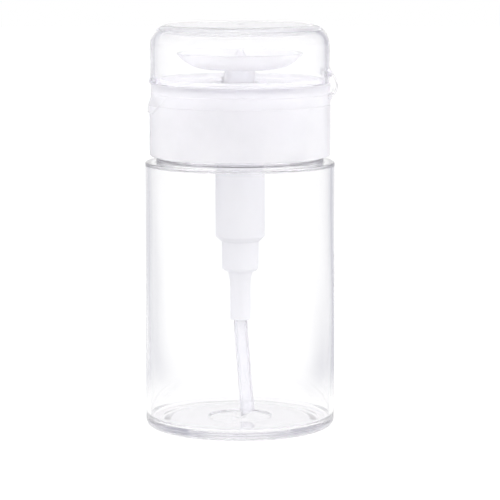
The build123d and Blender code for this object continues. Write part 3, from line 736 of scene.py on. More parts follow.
@dataclass(frozen=True)
class Finishes:
    """The finishes of the whole bottle, one for each material slot."""

    # Each clear finish's second tint paints shade on its edges; the bottle's, lid's and dish's
    # bands paint that shade all round between their heights.
    bottle: ClearPlastic = ClearPlastic(
        "clear_pet", (1.0, 1.0, 1.0), (0.85, 0.84, 0.88), (0.75, 0.97), 1.57, 0.02,
        (0.0, 0.012), (0.95, 0.945, 0.97), (0.99, 0.99, 0.99), (0.5, 0.48, 0.56), 5.0,
        9.0, 0.01, (1.0, 1.0, 0.25), band=(1.3, 2.4), band_roughness=0.02, painted_shade_share=0.7,
    )
    lid: ClearPlastic = ClearPlastic(
        "natural_lid", (1.0, 1.0, 1.0), (0.965, 0.96, 0.98), (0.75, 0.97), 1.5, 0.06,
        (0.03, 0.06), (0.93, 0.925, 0.94), (0.97, 0.97, 0.98), (0.45, 0.43, 0.52), 10.0, 3.0, 0.004,
        band=(100.7, 101.9), veil=(101.88, 0.3),
    )
    closure: ClearPlastic = ClearPlastic(
        "natural_closure", (0.99, 0.99, 0.995), (0.95, 0.945, 0.965), (0.75, 0.97), 1.5, 0.10,
        (0.43, 0.46), (0.885, 0.88, 0.893), (0.95, 0.95, 0.955), (0.45, 0.44, 0.49), 10.0,
        3.0, 0.003,
    )
    dish: ClearPlastic = ClearPlastic(
        "dish_moulding", (0.99, 0.99, 0.99), (0.92, 0.915, 0.925), (0.70, 0.97), 1.5, 0.12,
        (0.36, 0.40), (0.865, 0.86, 0.87), (0.95, 0.95, 0.95), (0.45, 0.44, 0.48), 24.0, 2.5, 0.006,
        band=(90.6, 92.6), band_roughness=0.2,
    )
    tube: ClearPlastic = ClearPlastic(
        "clear_tube", (0.99, 0.99, 1.0), (0.88, 0.87, 0.92), (0.45, 0.9), 1.5, 0.06,
        (0.14, 0.18), (0.89, 0.885, 0.91), (0.96, 0.96, 0.97), (0.45, 0.43, 0.51), 160.0,
        2.0, 0.002,
    )
    pump: MilkyPlastic = MilkyPlastic(
        "pump_moulding", (0.92, 0.917, 0.94), (0.89, 0.887, 0.915), 0.38, 0.25, 0.6, 0.006
    )
    seal: MilkyPlastic = MilkyPlastic(
        "soft_seal", (0.92, 0.92, 0.93), (0.88, 0.88, 0.90), 0.6, 0.25, 0.4, 0.01
    )
    foam: FoamSheet = FoamSheet("sealing_foam", (0.90, 0.90, 0.91), (0.72, 0.72, 0.75), 0.35)
    wire: DrawnWire = DrawnWire("spring_wire", (0.60, 0.60, 0.61), (0.48, 0.48, 0.50))
    ball: ClearPlastic = ClearPlastic(
        "ball_glass", (0.96, 0.985, 0.98), (0.6, 0.66, 0.66), (0.6, 0.95), 1.52, 0.01,
        (0.0, 0.01), (0.8, 0.85, 0.85), (0.9, 0.9, 0.9), (0.3, 0.5, 0.45), 15.0, 4.0, 0.001,
    )

    def by_slot(self) -> dict[Slot, bpy.types.Material]:
        """Builds every material.

        Returns:
            The materials by slot.
        """
        made = {
            Slot.BOTTLE: self.bottle,
            Slot.CLOSURE: self.closure,
            Slot.LID: self.lid,
            Slot.DISH: self.dish,
            Slot.PUMP: self.pump,
            Slot.TUBE: self.tube,
            Slot.SEAL: self.seal,
            Slot.FOAM: self.foam,
            Slot.WIRE: self.wire,
            Slot.BALL: self.ball,
        }
        return {slot: finish.material() for slot, finish in made.items()}


def span(node: str) -> tuple[Array, Array]:
    """A node's lowest and highest corner in millimetres."""
    low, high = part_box(node)
    return np.array(low) / MM, np.array(high) / MM


def low_of(node: str) -> float:
    """The height of a node's foot."""
    return float(span(node)[0][2])


def top_of(node: str) -> float:
    """The height of a node's top."""
    return float(span(node)[1][2])


@dataclass(frozen=True)
class Thread:
    """A right-handed screw thread as a relief on a round wall."""

    wall: float
    outward: float
    start: float
    pitch: float = 3.2
    turns: float = 1.75
    depth: float = 1.1
    base: float = 1.5
    crest: float = 0.6
    run_out: tuple[float, float] = (0.02, 0.03)

    def relief(self, radius: Array, height: Array, angle: Array) -> Array:
        """Adds the thread to points on its wall.

        With s = (h - start) / pitch - a / 2 pi, the nearest turn is round(s), and the distance
        from its middle is (s - round(s)) pitch; the ridge is a trapezoid over that distance. At
        its ends it runs out over the given parts of a turn beyond them and before them.

        Args:
            radius: The points' radii.
            height: Their heights.
            angle: Their angles.

        Returns:
            The new radii.
        """
        winding = (height - self.start) / self.pitch - angle / TURN
        nearest = np.round(winding)
        along = nearest + angle / TURN
        offset = np.abs(winding - nearest) * self.pitch
        ridge = smooth(self.base / 2 - offset, 0.0, (self.base - self.crest) / 2)
        beyond, before = self.run_out
        ends = smooth(along, -beyond, before)
        ends = ends * (1 - smooth(along, self.turns - before, self.turns + beyond))
        on_wall = np.abs(radius - self.wall) < NEAR
        return radius + np.where(on_wall, self.outward * self.depth * ridge * ends, 0.0)


@dataclass(frozen=True)
class StrapPad:
    """The flat pad on a round wall that one end of the strap hinge grows from.

    Its side is 1 above the hinge's middle, on the lid, and -1 below it, on the closure.
    """

    side: int
    face: float = 22.95
    half_width: float = 6.3
    height: float = 1.4
    step: float = 0.06
    hinge_height: float = 87.1
    strap_height: float = 5.6

    def edge_degrees(self) -> float:
        """The angle at which the pad's side meets its face."""
        return math.degrees(math.atan(self.half_width / self.face))

    def middle(self) -> float:
        """The height of the pad's middle."""
        return self.hinge_height + self.side * self.strap_height / 2

    def heights(self) -> list[float]:
        """The heights where a profile needs rows for the pad."""
        low, high = self.middle() - self.height / 2, self.middle() + self.height / 2
        return [low - self.step, low, high, high + self.step]

    def relief(self, radius: Array, height: Array, angle: Array, wall: float) -> Array:
        """Raises an outer wall to the flat x = face within the pad's window.

        Args:
            radius: The points' radii.
            height: Their heights.
            angle: Their angles.
            wall: The wall's outer radius.

        Returns:
            The new radii.
        """
        turn = np.abs(np.mod(angle + math.pi, TURN) - math.pi)
        inside = (
            (turn <= math.radians(self.edge_degrees()))
            & (np.abs(height - self.middle()) <= (self.height + self.step) / 2)
            & (np.abs(radius - wall) < NEAR)
        )
        return np.where(inside, np.maximum(radius, flat_radius(self.face, turn)), radius)


@dataclass
class BottleBody:
    """The clear bottle: heel, push-up base, shoulder step, transfer bead and threaded neck."""

    radius: float = 24.0
    wall: float = 1.1
    shoulder: float = 67.4
    shoulder_wall: float = 0.6
    shoulder_fillet: float = 0.5
    inner_fillet: float = 0.35
    heel: float = 2.4
    standing: float = 1.6
    push_up: float = 0.8
    push_run: float = 2.4
    floor: float = 2.2
    gate_ring: float = 7.8
    gate_step: float = 0.3
    gate_mark: float = 1.3
    gate_mark_depth: float = 0.35
    step_radius: float = 21.2
    step_rise: float = 1.2
    step_fillet: float = 0.4
    bead_radius: float = 16.6
    bead_height: float = 1.2
    neck_radius: float = 14.7
    neck_wall: float = 1.7
    lip_fillet: float = 0.3
    thread_lead: float = 0.9
    inner_wave: float = 0.045

    @classmethod
    def thread_start(cls) -> float:
        """The height at which the neck's thread starts."""
        climb = Thread.pitch * Thread.turns
        return top_of("bottle") - cls.thread_lead - Thread.base / 2 - climb

    def corners(self) -> list[Corner]:
        """The profile from the gate outside, over the neck and back to the gate inside."""
        top = top_of("bottle")
        inner = self.radius - self.wall
        standing_inner = self.radius - self.heel - self.standing
        dome = standing_inner - self.push_run
        ring_top = self.push_up + self.gate_step
        step_top = self.shoulder + self.step_rise
        bead_top = step_top + self.bead_height
        bore = self.neck_radius - self.neck_wall
        under_step, under_shoulder = step_top - self.wall, self.shoulder - self.shoulder_wall
        gate_floor = self.floor - self.gate_step
        return [
            Corner(0, ring_top - self.gate_mark_depth),
            Corner(self.gate_mark * 0.6, ring_top - self.gate_mark_depth, 0.3),
            Corner(self.gate_mark, ring_top, 0.2),
            Corner(self.gate_ring, ring_top, 0.15),
            Corner(self.gate_ring + self.gate_step, self.push_up, 0.15),
            Corner(dome, self.push_up, self.standing),
            Corner(standing_inner, 0, 0.5),
            Corner(self.radius, 0, self.heel),
            Corner(self.radius, self.shoulder, self.shoulder_fillet),
            Corner(self.step_radius, self.shoulder, 0.25),
            Corner(self.step_radius, step_top, self.step_fillet),
            Corner(self.bead_radius, step_top, 0.2),
            Corner(self.bead_radius, bead_top, self.step_fillet),
            Corner(self.neck_radius, bead_top, 0.15),
            Corner(self.neck_radius, top, self.lip_fillet),
            Corner(bore, top, self.lip_fillet),
            Corner(bore, under_step, 0.3),
            Corner(self.step_radius - self.wall, under_step, self.step_fillet),
            Corner(self.step_radius - self.wall, under_shoulder, 0.4),
            Corner(inner, under_shoulder, self.inner_fillet),
            Corner(inner, self.floor, self.heel - self.wall),
            Corner(self.gate_ring + self.gate_step, self.floor, 0.3),
            Corner(self.gate_ring, gate_floor, 0.3),
            Corner(0, gate_floor),
        ]

    def relief(self, radius: Array, height: Array, angle: Array) -> Array:
        """The neck's thread, and the blown inner wall's long waves.

        The waves are w (sin(5 a + 1.3) + 0.6 sin(9 a + h / 11)) sin^2(pi h / H) on the inner wall.
        """
        thread = Thread(self.neck_radius, 1.0, self.thread_start())
        radius = thread.relief(radius, height, angle)
        inner = np.abs(radius - (self.radius - self.wall)) < NEAR
        swell = np.sin(math.pi * np.clip(height / self.shoulder, 0, 1)) ** 2
        waves = np.sin(5 * angle + 1.3) + 0.6 * np.sin(9 * angle + height / 11)
        return radius + np.where(inner, self.inner_wave * swell * waves, 0.0)

    def build(self, finish: bpy.types.Material) -> None:
        """Makes the bottle."""
        top, inner = top_of("bottle"), self.radius - self.wall
        bead_top = self.shoulder + self.step_rise + self.bead_height
        fine = [
            Fine(self.neck_radius, bead_top, top, step=0.11),
            Fine(inner, self.floor, self.shoulder, step=2.0),
        ]
        profile = outline(self.corners(), closed=False, fine=fine)
        piece = turn_cup("bottle_body", profile, columns(WIDE_COLUMNS), self.relief)
        dress(piece, Body.BOTTLE, finish, "bottle")


@dataclass
class Closure:
    """The screw closure: outer skirt, deck, upstand, threaded inner skirt and thumb scoop."""

    radius: float = 22.85
    wall: float = 1.3
    foot_fillet: float = 0.5
    seam_chamfer: float = 0.2
    deck: float = 1.5
    deck_drop: float = 0.2
    deck_hole: float = 6.95
    upstand_radius: float = 20.9
    upstand_wall: float = 1.2
    upstand_height: float = 1.1
    snap_reach: float = 0.25
    snap_height: float = 0.5
    skirt_radius: float = 16.05
    skirt_wall: float = 1.1
    skirt_foot: float = 70.3
    rib_middle: float = 13.85
    rib_width: float = 0.9
    scoop_degrees: float = 41.0
    scoop_height: float = 7.5
    scoop_corner: float = 10.0
    scoop_depth: float = 0.35
    rim_reach: float = 0.37
    rim_height: float = 1.9
    slope_height: float = 2.0
    scoop_edge: float = 0.14
    scoop_column: float = 0.4
    thread_drop: float = 1.25
    pad: StrapPad = StrapPad(-1)

    def corners(self) -> list[Corner]:
        """The closed profile, up the outside, over the upstand and down the inner skirt."""
        bottom, seam = low_of("closure_collar"), low_of("flip_lid")
        inner, deck_top = self.radius - self.wall, seam - self.deck_drop
        deck_bottom = deck_top - self.deck
        rim = seam + self.upstand_height
        snap_top = rim - self.snap_height / 2
        snap_foot = snap_top - self.snap_height
        up, up_in = self.upstand_radius, self.upstand_radius - self.upstand_wall
        rib_in, rib_out = self.rib_middle - self.rib_width / 2, self.rib_middle + self.rib_width / 2
        rib_foot = top_of("bottle_gasket")
        skirt_out = self.skirt_radius + self.skirt_wall
        foot = seam - self.scoop_height
        rim_top = foot + self.rim_height
        fall = self.rim_reach + self.scoop_depth
        crossing = rim_top + self.slope_height * self.rim_reach / fall
        scoop = [foot, foot + self.scoop_edge, rim_top, crossing, rim_top + self.slope_height]
        marks = [*scoop, *self.pad.heights()]
        return [
            Corner(self.radius, bottom, self.foot_fillet),
            *[Corner(self.radius, mark, 0.0) for mark in sorted(marks)],
            Corner(self.radius, seam - self.seam_chamfer),
            Corner(self.radius - self.seam_chamfer, seam),
            Corner(inner, seam, 0.05),
            Corner(inner, deck_top, 0.05),
            Corner(up, deck_top, 0.05),
            Corner(up, snap_foot),
            Corner(up + self.snap_reach, (snap_foot + snap_top) / 2),
            Corner(up, snap_top),
            Corner(up, rim, 0.15),
            Corner(up_in, rim, 0.15),
            Corner(up_in, deck_top, 0.15),
            Corner(self.deck_hole, deck_top),
            Corner(self.deck_hole, deck_bottom),
            Corner(rib_in, deck_bottom),
            Corner(rib_in, rib_foot),
            Corner(rib_out, rib_foot),
            Corner(rib_out, deck_bottom),
            Corner(self.skirt_radius, deck_bottom, 0.15),
            Corner(self.skirt_radius, self.skirt_foot, 0.2),
            Corner(skirt_out, self.skirt_foot, 0.2),
            Corner(skirt_out, deck_bottom, 0.2),
            Corner(inner, deck_bottom, 0.2),
            Corner(inner, bottom, 0.3),
        ]

    def relief(self, radius: Array, height: Array, angle: Array) -> Array:
        """The inner thread, the thumb scoop with its raised foot, and the strap's pad.

        The scoop's window is |y| < half width with round lower corners. Inside it the wall's
        offset runs from +reach at the raised foot, down a straight slope, to -depth at the seam.
        """
        foot = low_of("flip_lid") - self.scoop_height
        thread = Thread(self.skirt_radius, -1.0, BottleBody.thread_start() - self.thread_drop)
        outer = np.abs(radius - self.radius) < self.seam_chamfer + NEAR
        turn = np.abs(angle - math.pi)
        half = self.radius * math.sin(math.radians(self.scoop_degrees))
        corner = self.scoop_corner
        beside = np.maximum(np.abs(self.radius * np.sin(angle)) - (half - corner), 0)
        below = np.maximum(foot + corner - height, 0)
        inside = smooth(corner - np.hypot(beside, below), 0.0, self.scoop_edge)
        inside = inside * (turn < math.pi / 2)
        slope = [foot + self.rim_height, foot + self.rim_height + self.slope_height]
        offset = np.interp(height, slope, [self.rim_reach, -self.scoop_depth])
        wall = self.radius + offset * inside
        new = np.where(offset > 0, radius + offset * inside, np.minimum(radius, wall))
        new = np.where(outer & (inside > 0), new, radius)
        new = self.pad.relief(new, height, angle, self.radius)
        on_skirt = np.abs(radius - self.skirt_radius) < NEAR
        return np.where(on_skirt, thread.relief(radius, height, angle), new)

    def build(self, finish: bpy.types.Material) -> None:
        """Makes the closure."""
        seam = low_of("flip_lid")
        foot = seam - self.scoop_height
        fine = [
            Fine(self.skirt_radius, self.skirt_foot, seam, step=0.12),
            Fine(self.radius, foot, seam - self.seam_chamfer, step=0.14),
        ]
        edge, scoop = self.pad.edge_degrees(), self.scoop_degrees
        near = np.arange(-scoop, scoop, self.scoop_column) + 180
        profile = outline(self.corners(), closed=True, fine=fine)
        angles = columns(WIDE_COLUMNS, edge, -edge, 180 - scoop, 180 + scoop)
        angles = np.unique(np.round(np.concatenate([angles, np.radians(near)]), 6))
        piece = turn_ring("closure_shell", profile, angles, self.relief)
        dress(piece, Body.CLOSURE, finish, "closure_collar")


@dataclass
class Lid:
    """The flip lid: a shallow cup with a thumb lip in front of the scoop and a strap pad."""

    radius: float = 22.65
    wall: float = 1.2
    roof: float = 1.2
    corner: float = 5.0
    seam_chamfer: float = 0.2
    lip_reach: float = 0.4
    lip_height: float = 1.6
    lip_degrees: float = 24.0
    gate_radius: float = 1.1
    gate_depth: float = 0.18
    pad: StrapPad = StrapPad(1)

    def corners(self) -> list[Corner]:
        """The profile from the roof's middle outside to the ceiling's middle."""
        seam, top = low_of("flip_lid"), top_of("flip_lid")
        inner, ceiling = self.radius - self.wall, top - self.roof
        marks = [seam + self.lip_height, *self.pad.heights()]
        return [
            Corner(0, top - self.gate_depth),
            Corner(self.gate_radius, top - self.gate_depth, 0.1),
            Corner(self.gate_radius + self.gate_depth, top, 0.1),
            Corner(self.radius, top, self.corner),
            *[Corner(self.radius, mark, 0.0) for mark in sorted(marks, reverse=True)],
            Corner(self.radius, seam + self.seam_chamfer),
            Corner(self.radius - self.seam_chamfer, seam),
            Corner(inner, seam, 0.15),
            Corner(inner, ceiling, self.corner - self.wall),
            Corner(0, ceiling),
        ]

    def relief(self, radius: Array, height: Array, angle: Array) -> Array:
        """The thumb lip, which stands out by its reach and slopes back to the wall, and the pad."""
        lip_top = low_of("flip_lid") + self.lip_height
        outer = np.abs(radius - self.radius) < self.seam_chamfer + NEAR
        turn = np.abs(angle - math.pi)
        slope = np.clip((lip_top - height) / (self.lip_height - self.seam_chamfer), 0, 1)
        lip = self.lip_reach * slope * (turn < math.radians(self.lip_degrees))
        new = np.where(outer & (height < lip_top), radius + lip, radius)
        return self.pad.relief(new, height, angle, self.radius)

    def build(self, finish: bpy.types.Material) -> None:
        """Makes the lid."""
        edge, lip = self.pad.edge_degrees(), self.lip_degrees
        profile = outline(self.corners(), closed=False)
        angles = columns(WIDE_COLUMNS, edge, -edge, 180 - lip, 180 + lip)
        piece = turn_cup("lid_shell", profile, angles, self.relief)
        dress(piece, Body.LID, finish, "flip_lid")


@dataclass
class StrapHinge:
    """The bowed strap that joins lid and closure."""

    face: float = StrapPad.face
    bulge: float = 1.3
    hinge_height: float = StrapPad.hinge_height
    height: float = StrapPad.strap_height
    width: float = 12.0
    thickness: float = 0.5
    rooting: float = 0.1
    rows: int = 48
    edge: float = 0.12

    def build(self, finish: bpy.types.Material) -> None:
        """Makes the strap: a rounded bar's section along the arc of radius (h^2 + b^2) / 2b."""
        half = self.height / 2
        radius = (half**2 + self.bulge**2) / (2 * self.bulge)
        centre = self.face + self.bulge - radius
        reach = math.asin(half / radius)
        turn = np.linspace(-reach, reach, self.rows)
        side = np.stack([np.cos(turn), np.zeros_like(turn), np.sin(turn)], axis=1)
        path = side * radius + np.array([centre, 0.0, self.hinge_height])
        path[0, 0] -= self.rooting
        path[-1, 0] -= self.rooting
        other = np.tile([0.0, 1.0, 0.0], (self.rows, 1))
        thick, wide = self.thickness / 2, self.width / 2
        box = [(thick, -wide), (thick, wide), (-thick, wide), (-thick, -wide)]
        corners = [Corner(u, v, self.edge) for u, v in box]
        piece = carry("strap_band", path, side, other, outline(corners, closed=True))
        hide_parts("hinge_strap")
        piece.data.materials.append(finish)
        pivot_x = self.face + self.bulge / 2
        pivot_x * MM
        (self.hinge_height - half) * MM
        pivot_x * MM
        (self.hinge_height + half) * MM
        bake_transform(piece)
        LOG.info("%s bends between %s and %s", piece.name, Body.CLOSURE.value, Body.LID.value)


@dataclass
class Dish:
    """The dish with its bowl, the boss round its outlet, the socket tube and the sliding key."""

    rim: float = 16.05
    flat: float = 8.2
    rise: float = 4.1
    wall: float = 1.0
    boss_radius: float = 3.2
    boss_height: float = 1.0
    socket_radius: float = 3.9
    socket_fillet: float = 0.4
    stem_hole: float = 2.82
    chamber: float = 1.8
    stem_drop: float = 1.5
    key_reach: float = 0.75
    key_half_width: float = 0.6
    key_drop: float = 1.9
    key_length: float = 4.9
    key_edge: float = 0.05
    bowl_rows: int = 26

    def key_turn(self) -> float:
        """Half the angle that the key's face takes up, in radians."""
        return math.atan(self.key_half_width / (self.socket_radius + self.key_reach))

    def bowl(self, radius: float, sweep: float, centre_height: float) -> list[Corner]:
        """Points on the bowl's arc, r = flat + R sin t and h = c - R cos t, from the floor out."""
        turn = np.linspace(0.0, sweep, self.bowl_rows)
        places = zip(self.flat + radius * np.sin(turn), centre_height - radius * np.cos(turn))
        return [Corner(float(r), float(h), 0.0) for r, h in places]

    def corners(self) -> list[Corner]:
        """The closed profile: up the socket, under the bowl, back over it and down the bore."""
        floor = top_of("dish") - self.rise
        run = self.rim - self.flat
        outside = (self.rise**2 + run**2) / (2 * self.rise)
        inside = outside - self.wall
        centre = floor + outside
        drop = centre - top_of("dish")
        under = self.bowl(outside, math.asin(run / outside), centre)
        over = self.bowl(inside, math.acos(drop / inside), centre)[::-1]
        bottom = low_of("dish")
        floor_top = floor + self.wall
        boss_top = floor_top + self.boss_height
        key_top = floor - self.key_drop
        key_foot = key_top - self.key_length
        marks = [key_foot - self.key_edge, key_foot, key_top, key_top + self.key_edge]
        return [
            Corner(self.stem_hole, bottom),
            Corner(self.socket_radius, bottom, 0.2),
            *[Corner(self.socket_radius, mark, 0.0) for mark in marks],
            Corner(self.socket_radius, floor - self.socket_fillet, 0.2),
            Corner(self.socket_radius + self.socket_fillet, floor, 0.2),
            *under[:-1],
            Corner(under[-1].radius, under[-1].height, 0.15),
            Corner(over[0].radius, over[0].height, 0.15),
            *over[1:],
            Corner(self.boss_radius, floor_top, 0.15),
            Corner(self.boss_radius, boss_top, 0.25),
            Corner(self.chamber, boss_top, 0.1),
            Corner(self.chamber, floor - self.stem_drop),
            Corner(self.stem_hole, floor - self.stem_drop),
        ]

    def relief(self, radius: Array, height: Array, angle: Array) -> Array:
        """The key: the socket's wall stands out to x = -(its radius + reach) within a window."""
        key_top = top_of("dish") - self.rise - self.key_drop
        turn = np.abs(angle - math.pi)
        inside = (
            (turn <= self.key_turn())
            & (height <= key_top + self.key_edge / 2)
            & (height >= key_top - self.key_length - self.key_edge / 2)
            & (np.abs(radius - self.socket_radius) < NEAR)
        )
        face = self.socket_radius + self.key_reach
        return np.where(inside, flat_radius(face, turn), radius)

    def build(self, finish: bpy.types.Material) -> None:
        """Makes the dish."""
        edge = math.degrees(self.key_turn())
        profile = outline(self.corners(), closed=True)
        piece = turn_ring("dish_shell", profile, columns(160, 180 - edge, 180 + edge), self.relief)
        dress(piece, Body.PLUNGER, finish, "dish")


@dataclass
class Nozzle:
    """The outlet nozzle in the dish's boss: spigot, head, cone and fine bore."""

    spigot: float = 1.78
    spigot_length: float = 1.2
    head_radius: float = 2.6
    head_height: float = 0.5
    cone_radius: float = 1.9
    tip_radius: float = 0.8
    bore: float = 0.45

    def build(self, finish: bpy.types.Material) -> None:
        """Makes the nozzle."""
        bottom, top = low_of("outlet_nozzle"), top_of("outlet_nozzle")
        seat = bottom + self.spigot_length
        head = seat + self.head_height
        corners = [
            Corner(self.bore, bottom),
            Corner(self.spigot, bottom),
            Corner(self.spigot, seat),
            Corner(self.head_radius, seat),
            Corner(self.head_radius, head, 0.15),
            Corner(self.cone_radius, head, 0.1),
            Corner(self.tip_radius, top, 0.15),
            Corner(self.bore, top, 0.1),
        ]
        piece = turn_ring("nozzle_tip", outline(corners, closed=True), columns(64))
        dress(piece, Body.PLUNGER, finish, "outlet_nozzle")


@dataclass
class PumpHousing:
    """The pump's cylinder: flange, long barrel, valve chamber and the dip tube's socket."""

    flange: float = 9.0
    flange_thickness: float = 1.3
    barrel: float = 6.25
    barrel_bore: float = 5.25
    barrel_length: float = 36.3
    barrel_chamfer: float = 1.2
    barrel_floor: float = 1.4
    valve: float = 4.7
    valve_bore: float = 3.6
    valve_length: float = 7.7
    valve_chamfer: float = 0.7
    taper_top: float = 3.2
    taper_length: float = 2.7
    socket: float = 2.7
    socket_hole: float = 1.82
    stop_drop: float = 0.8
    inlet: float = 1.0
    seat_rise: float = 0.4

    def build(self, finish: bpy.types.Material) -> None:
        """Makes the housing."""
        top, foot = top_of("pump_housing"), low_of("pump_housing")
        flange_foot = top - self.flange_thickness
        barrel_foot = flange_foot - self.barrel_length
        valve_foot = barrel_foot - self.valve_length
        taper_foot = valve_foot - self.taper_length
        tube_stop = taper_foot - self.stop_drop
        seat = valve_foot + self.seat_rise
        step = barrel_foot + self.barrel_floor
        corners = [
            Corner(self.barrel_bore, top),
            Corner(self.flange, top, 0.15),
            Corner(self.flange, flange_foot, 0.15),
            Corner(self.barrel, flange_foot, 0.2),
            Corner(self.barrel, barrel_foot + self.barrel_chamfer, 0.4),
            Corner(self.barrel - self.barrel_chamfer, barrel_foot, 0.3),
            Corner(self.valve, barrel_foot, 0.15),
            Corner(self.valve, valve_foot + self.valve_chamfer, 0.3),
            Corner(self.valve - self.valve_chamfer, valve_foot, 0.2),
            Corner(self.taper_top, valve_foot, 0.15),
            Corner(self.socket, taper_foot, 0.3),
            Corner(self.socket, foot, 0.2),
            Corner(self.socket_hole, foot, 0.15),
            Corner(self.socket_hole, tube_stop),
            Corner(self.inlet, tube_stop),
            Corner(self.inlet, seat, 0.05),
            Corner(self.valve_bore, seat + self.valve_bore - self.inlet),
            Corner(self.valve_bore, step),
            Corner(self.barrel_bore, step),
        ]
        piece = turn_ring("housing_barrel", outline(corners, closed=True), columns(120))
        dress(piece, Body.PUMP, finish, "pump_housing")


@dataclass
class DipTube:
    """The dip tube: straight in its socket, then bent to one side, cut at a slant at its foot."""

    radius: float = 1.8
    wall: float = 0.6
    lean: tuple[float, float] = (2.1, -3.0)
    midway: float = 0.42
    bends: tuple[float, float] = (25.8, 486.1)
    slant_degrees: float = 24.0
    cut_margin: float = 0.4
    cut_support: float = 0.2
    sides: int = 48

    def way(self) -> Array:
        """The unit direction, as x and y, in which the tube leans."""
        return np.array(self.lean) / math.hypot(*self.lean)

    def leaning(self, flat: Array) -> Array:
        """Points or directions in space, from distances from the axis and heights."""
        return np.column_stack([flat[:, :1] * self.way(), flat[:, 1]])

    def path(self) -> Array:
        """The centre line, as distance from the axis and height.

        It ends in the middle of the slanted cut, whose lowest point is the node's foot.
        """
        top, mouth = top_of("dip_tube"), low_of("pump_housing")
        tip = self.radius * math.tan(math.radians(self.slant_degrees))
        cut = low_of("dip_tube") + tip
        foot = cut - self.radius
        reach = math.hypot(*self.lean)
        exit_height = mouth - self.radius
        corners = [
            Corner(0.0, top),
            Corner(0.0, exit_height, self.bends[0]),
            Corner(reach * self.midway, (mouth + foot) / 2, self.bends[1]),
            Corner(reach, foot),
        ]
        flat = outline(corners, closed=False)
        heights = np.array([cut + tip + self.cut_margin, cut + self.cut_support, cut])
        ends = np.interp(heights, flat[::-1, 1], flat[::-1, 0])
        above = flat[flat[:, 1] > heights[0] + self.cut_support / 2]
        return np.vstack([above, np.stack([ends, heights], axis=1)])

    def build(self, finish: bpy.types.Material) -> None:
        """Makes the tube: circles down the path outside and back up inside, closed at both ends.

        The last two circles' points slide along the tube onto the slanted plane of the cut, so
        that the smooth shading stops just above it.
        """
        flat = self.path()
        space = self.leaning(flat)
        along = np.gradient(flat, axis=0)
        along /= np.hypot(along[:, 0], along[:, 1])[:, None]
        side = self.leaning(np.stack([-along[:, 1], along[:, 0]], axis=1))
        way = self.way()
        other = np.tile([way[1], -way[0], 0.0], (len(flat), 1))
        slope = math.tan(math.radians(self.slant_degrees))
        run = space[-1] - space[-2]
        shells = []
        for radius in (self.radius, self.radius - self.wall):
            rings = swept(space, side, other, circle(radius, self.sides))
            for row in (-2, -1):
                cut = space[row, 2] + (rings[row, :, 0] - space[row, 0]) * slope
                rings[row] += (cut - rings[row, :, 2])[:, None] * (run / run[2])
            shells.append(rings)
        points = np.concatenate([shells[0], shells[1][::-1]])
        faces = grid_faces(len(points), self.sides, close_rows=True).tolist()
        piece = make_piece("dip_tube_wall", points.reshape(-1, 3), faces)
        dress(piece, Body.PUMP, finish, "dip_tube")


@dataclass
class Spring:
    """The return spring: open turns between a close turn at each end."""

    turns: int = 7
    mean_radius: float = 4.2
    wire: float = 0.35
    end_pitch: float = 1.3
    stroke: float = 3.3
    steps: int = 56
    sides: int = 14

    def build(self, finish: bpy.types.Material) -> None:
        """Makes the coil: a circle carried along x = R cos t, y = R sin t, with the climb in z."""
        low, high = low_of("return_spring") + self.wire, top_of("return_spring") - self.wire
        count = self.turns * self.steps + 1
        winding = np.linspace(0.0, self.turns, count)
        end = self.end_pitch
        knots = np.array([0.0, 1.0, self.turns - 1.0, float(self.turns)])
        climb = np.interp(winding, knots, [0.0, end, high - low - end, high - low])
        kernel = np.hanning(self.steps // 2)
        padded = np.pad(climb, len(kernel) // 2, mode="reflect", reflect_type="odd")
        climb = np.convolve(padded, kernel / kernel.sum(), mode="same")[len(kernel) // 2 :][:count]
        turn = winding * TURN
        radial = np.stack([np.cos(turn), np.sin(turn), np.zeros(count)], axis=1)
        path = radial * self.mean_radius
        path[:, 2] = low + climb
        along = np.gradient(path, axis=0)
        along /= np.linalg.norm(along, axis=1)[:, None]
        section = circle(self.wire, self.sides)
        piece = carry("spring_coil", path, radial, np.cross(along, radial), section)
        stroke, length = self.stroke, high - low + 2 * self.wire
        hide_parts("return_spring")
        piece.data.materials.append(finish)
        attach(piece, Body.PUMP.value)
        1 - stroke / length
        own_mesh(piece)
        LOG.info("%s rides on %s and is pressed with the dish", piece.name, Body.PUMP.value)


@dataclass
class Gasket:
    """The foam washer between the neck's rim, the pump's flange and the closure."""

    outer: float = 15.75
    inner: float = 6.35
    dent: float = 0.09
    rib: float = 13.85
    rib_width: float = 0.9

    def build(self, finish: bpy.types.Material) -> None:
        """Makes the washer: soft rounded rims, and a dent where the closure's rib presses."""
        low, high = low_of("bottle_gasket"), top_of("bottle_gasket")
        half = self.rib_width / 2
        corners = [
            Corner(self.inner, low, 0.3),
            Corner(self.outer, low, 0.3),
            Corner(self.outer, high, 0.3),
            Corner(self.rib + half + self.dent, high, 0.1),
            Corner(self.rib + half, high - self.dent, 0.05),
            Corner(self.rib - half, high - self.dent, 0.05),
            Corner(self.rib - half - self.dent, high, 0.1),
            Corner(self.inner, high, 0.3),
        ]
        piece = turn_ring("gasket_washer", outline(corners, closed=True), columns(120))
        dress(piece, Body.PUMP, finish, "bottle_gasket")


def dress(
    piece: bpy.types.Object, body: Body, finish: bpy.types.Material, node: str
) -> None:
    """Gives a piece its finish and its body, and lets it stand for a node of the frame.

    Args:
        piece: The piece.
        body: The body that it rides on.
        finish: The material.
        node: The node that it stands for.
    """
    piece.data.materials.append(finish)
    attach(piece, body.value)
    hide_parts(node)
    corners = np.array([vertex.co for vertex in piece.data.vertices]) / MM
    low, high = span(node)
    off = max(np.abs(corners.min(axis=0) - low).max(), np.abs(corners.max(axis=0) - high).max())
    LOG.info("%s stands for %s on %s, %.2f mm off its box", piece.name, node, body.value, off)


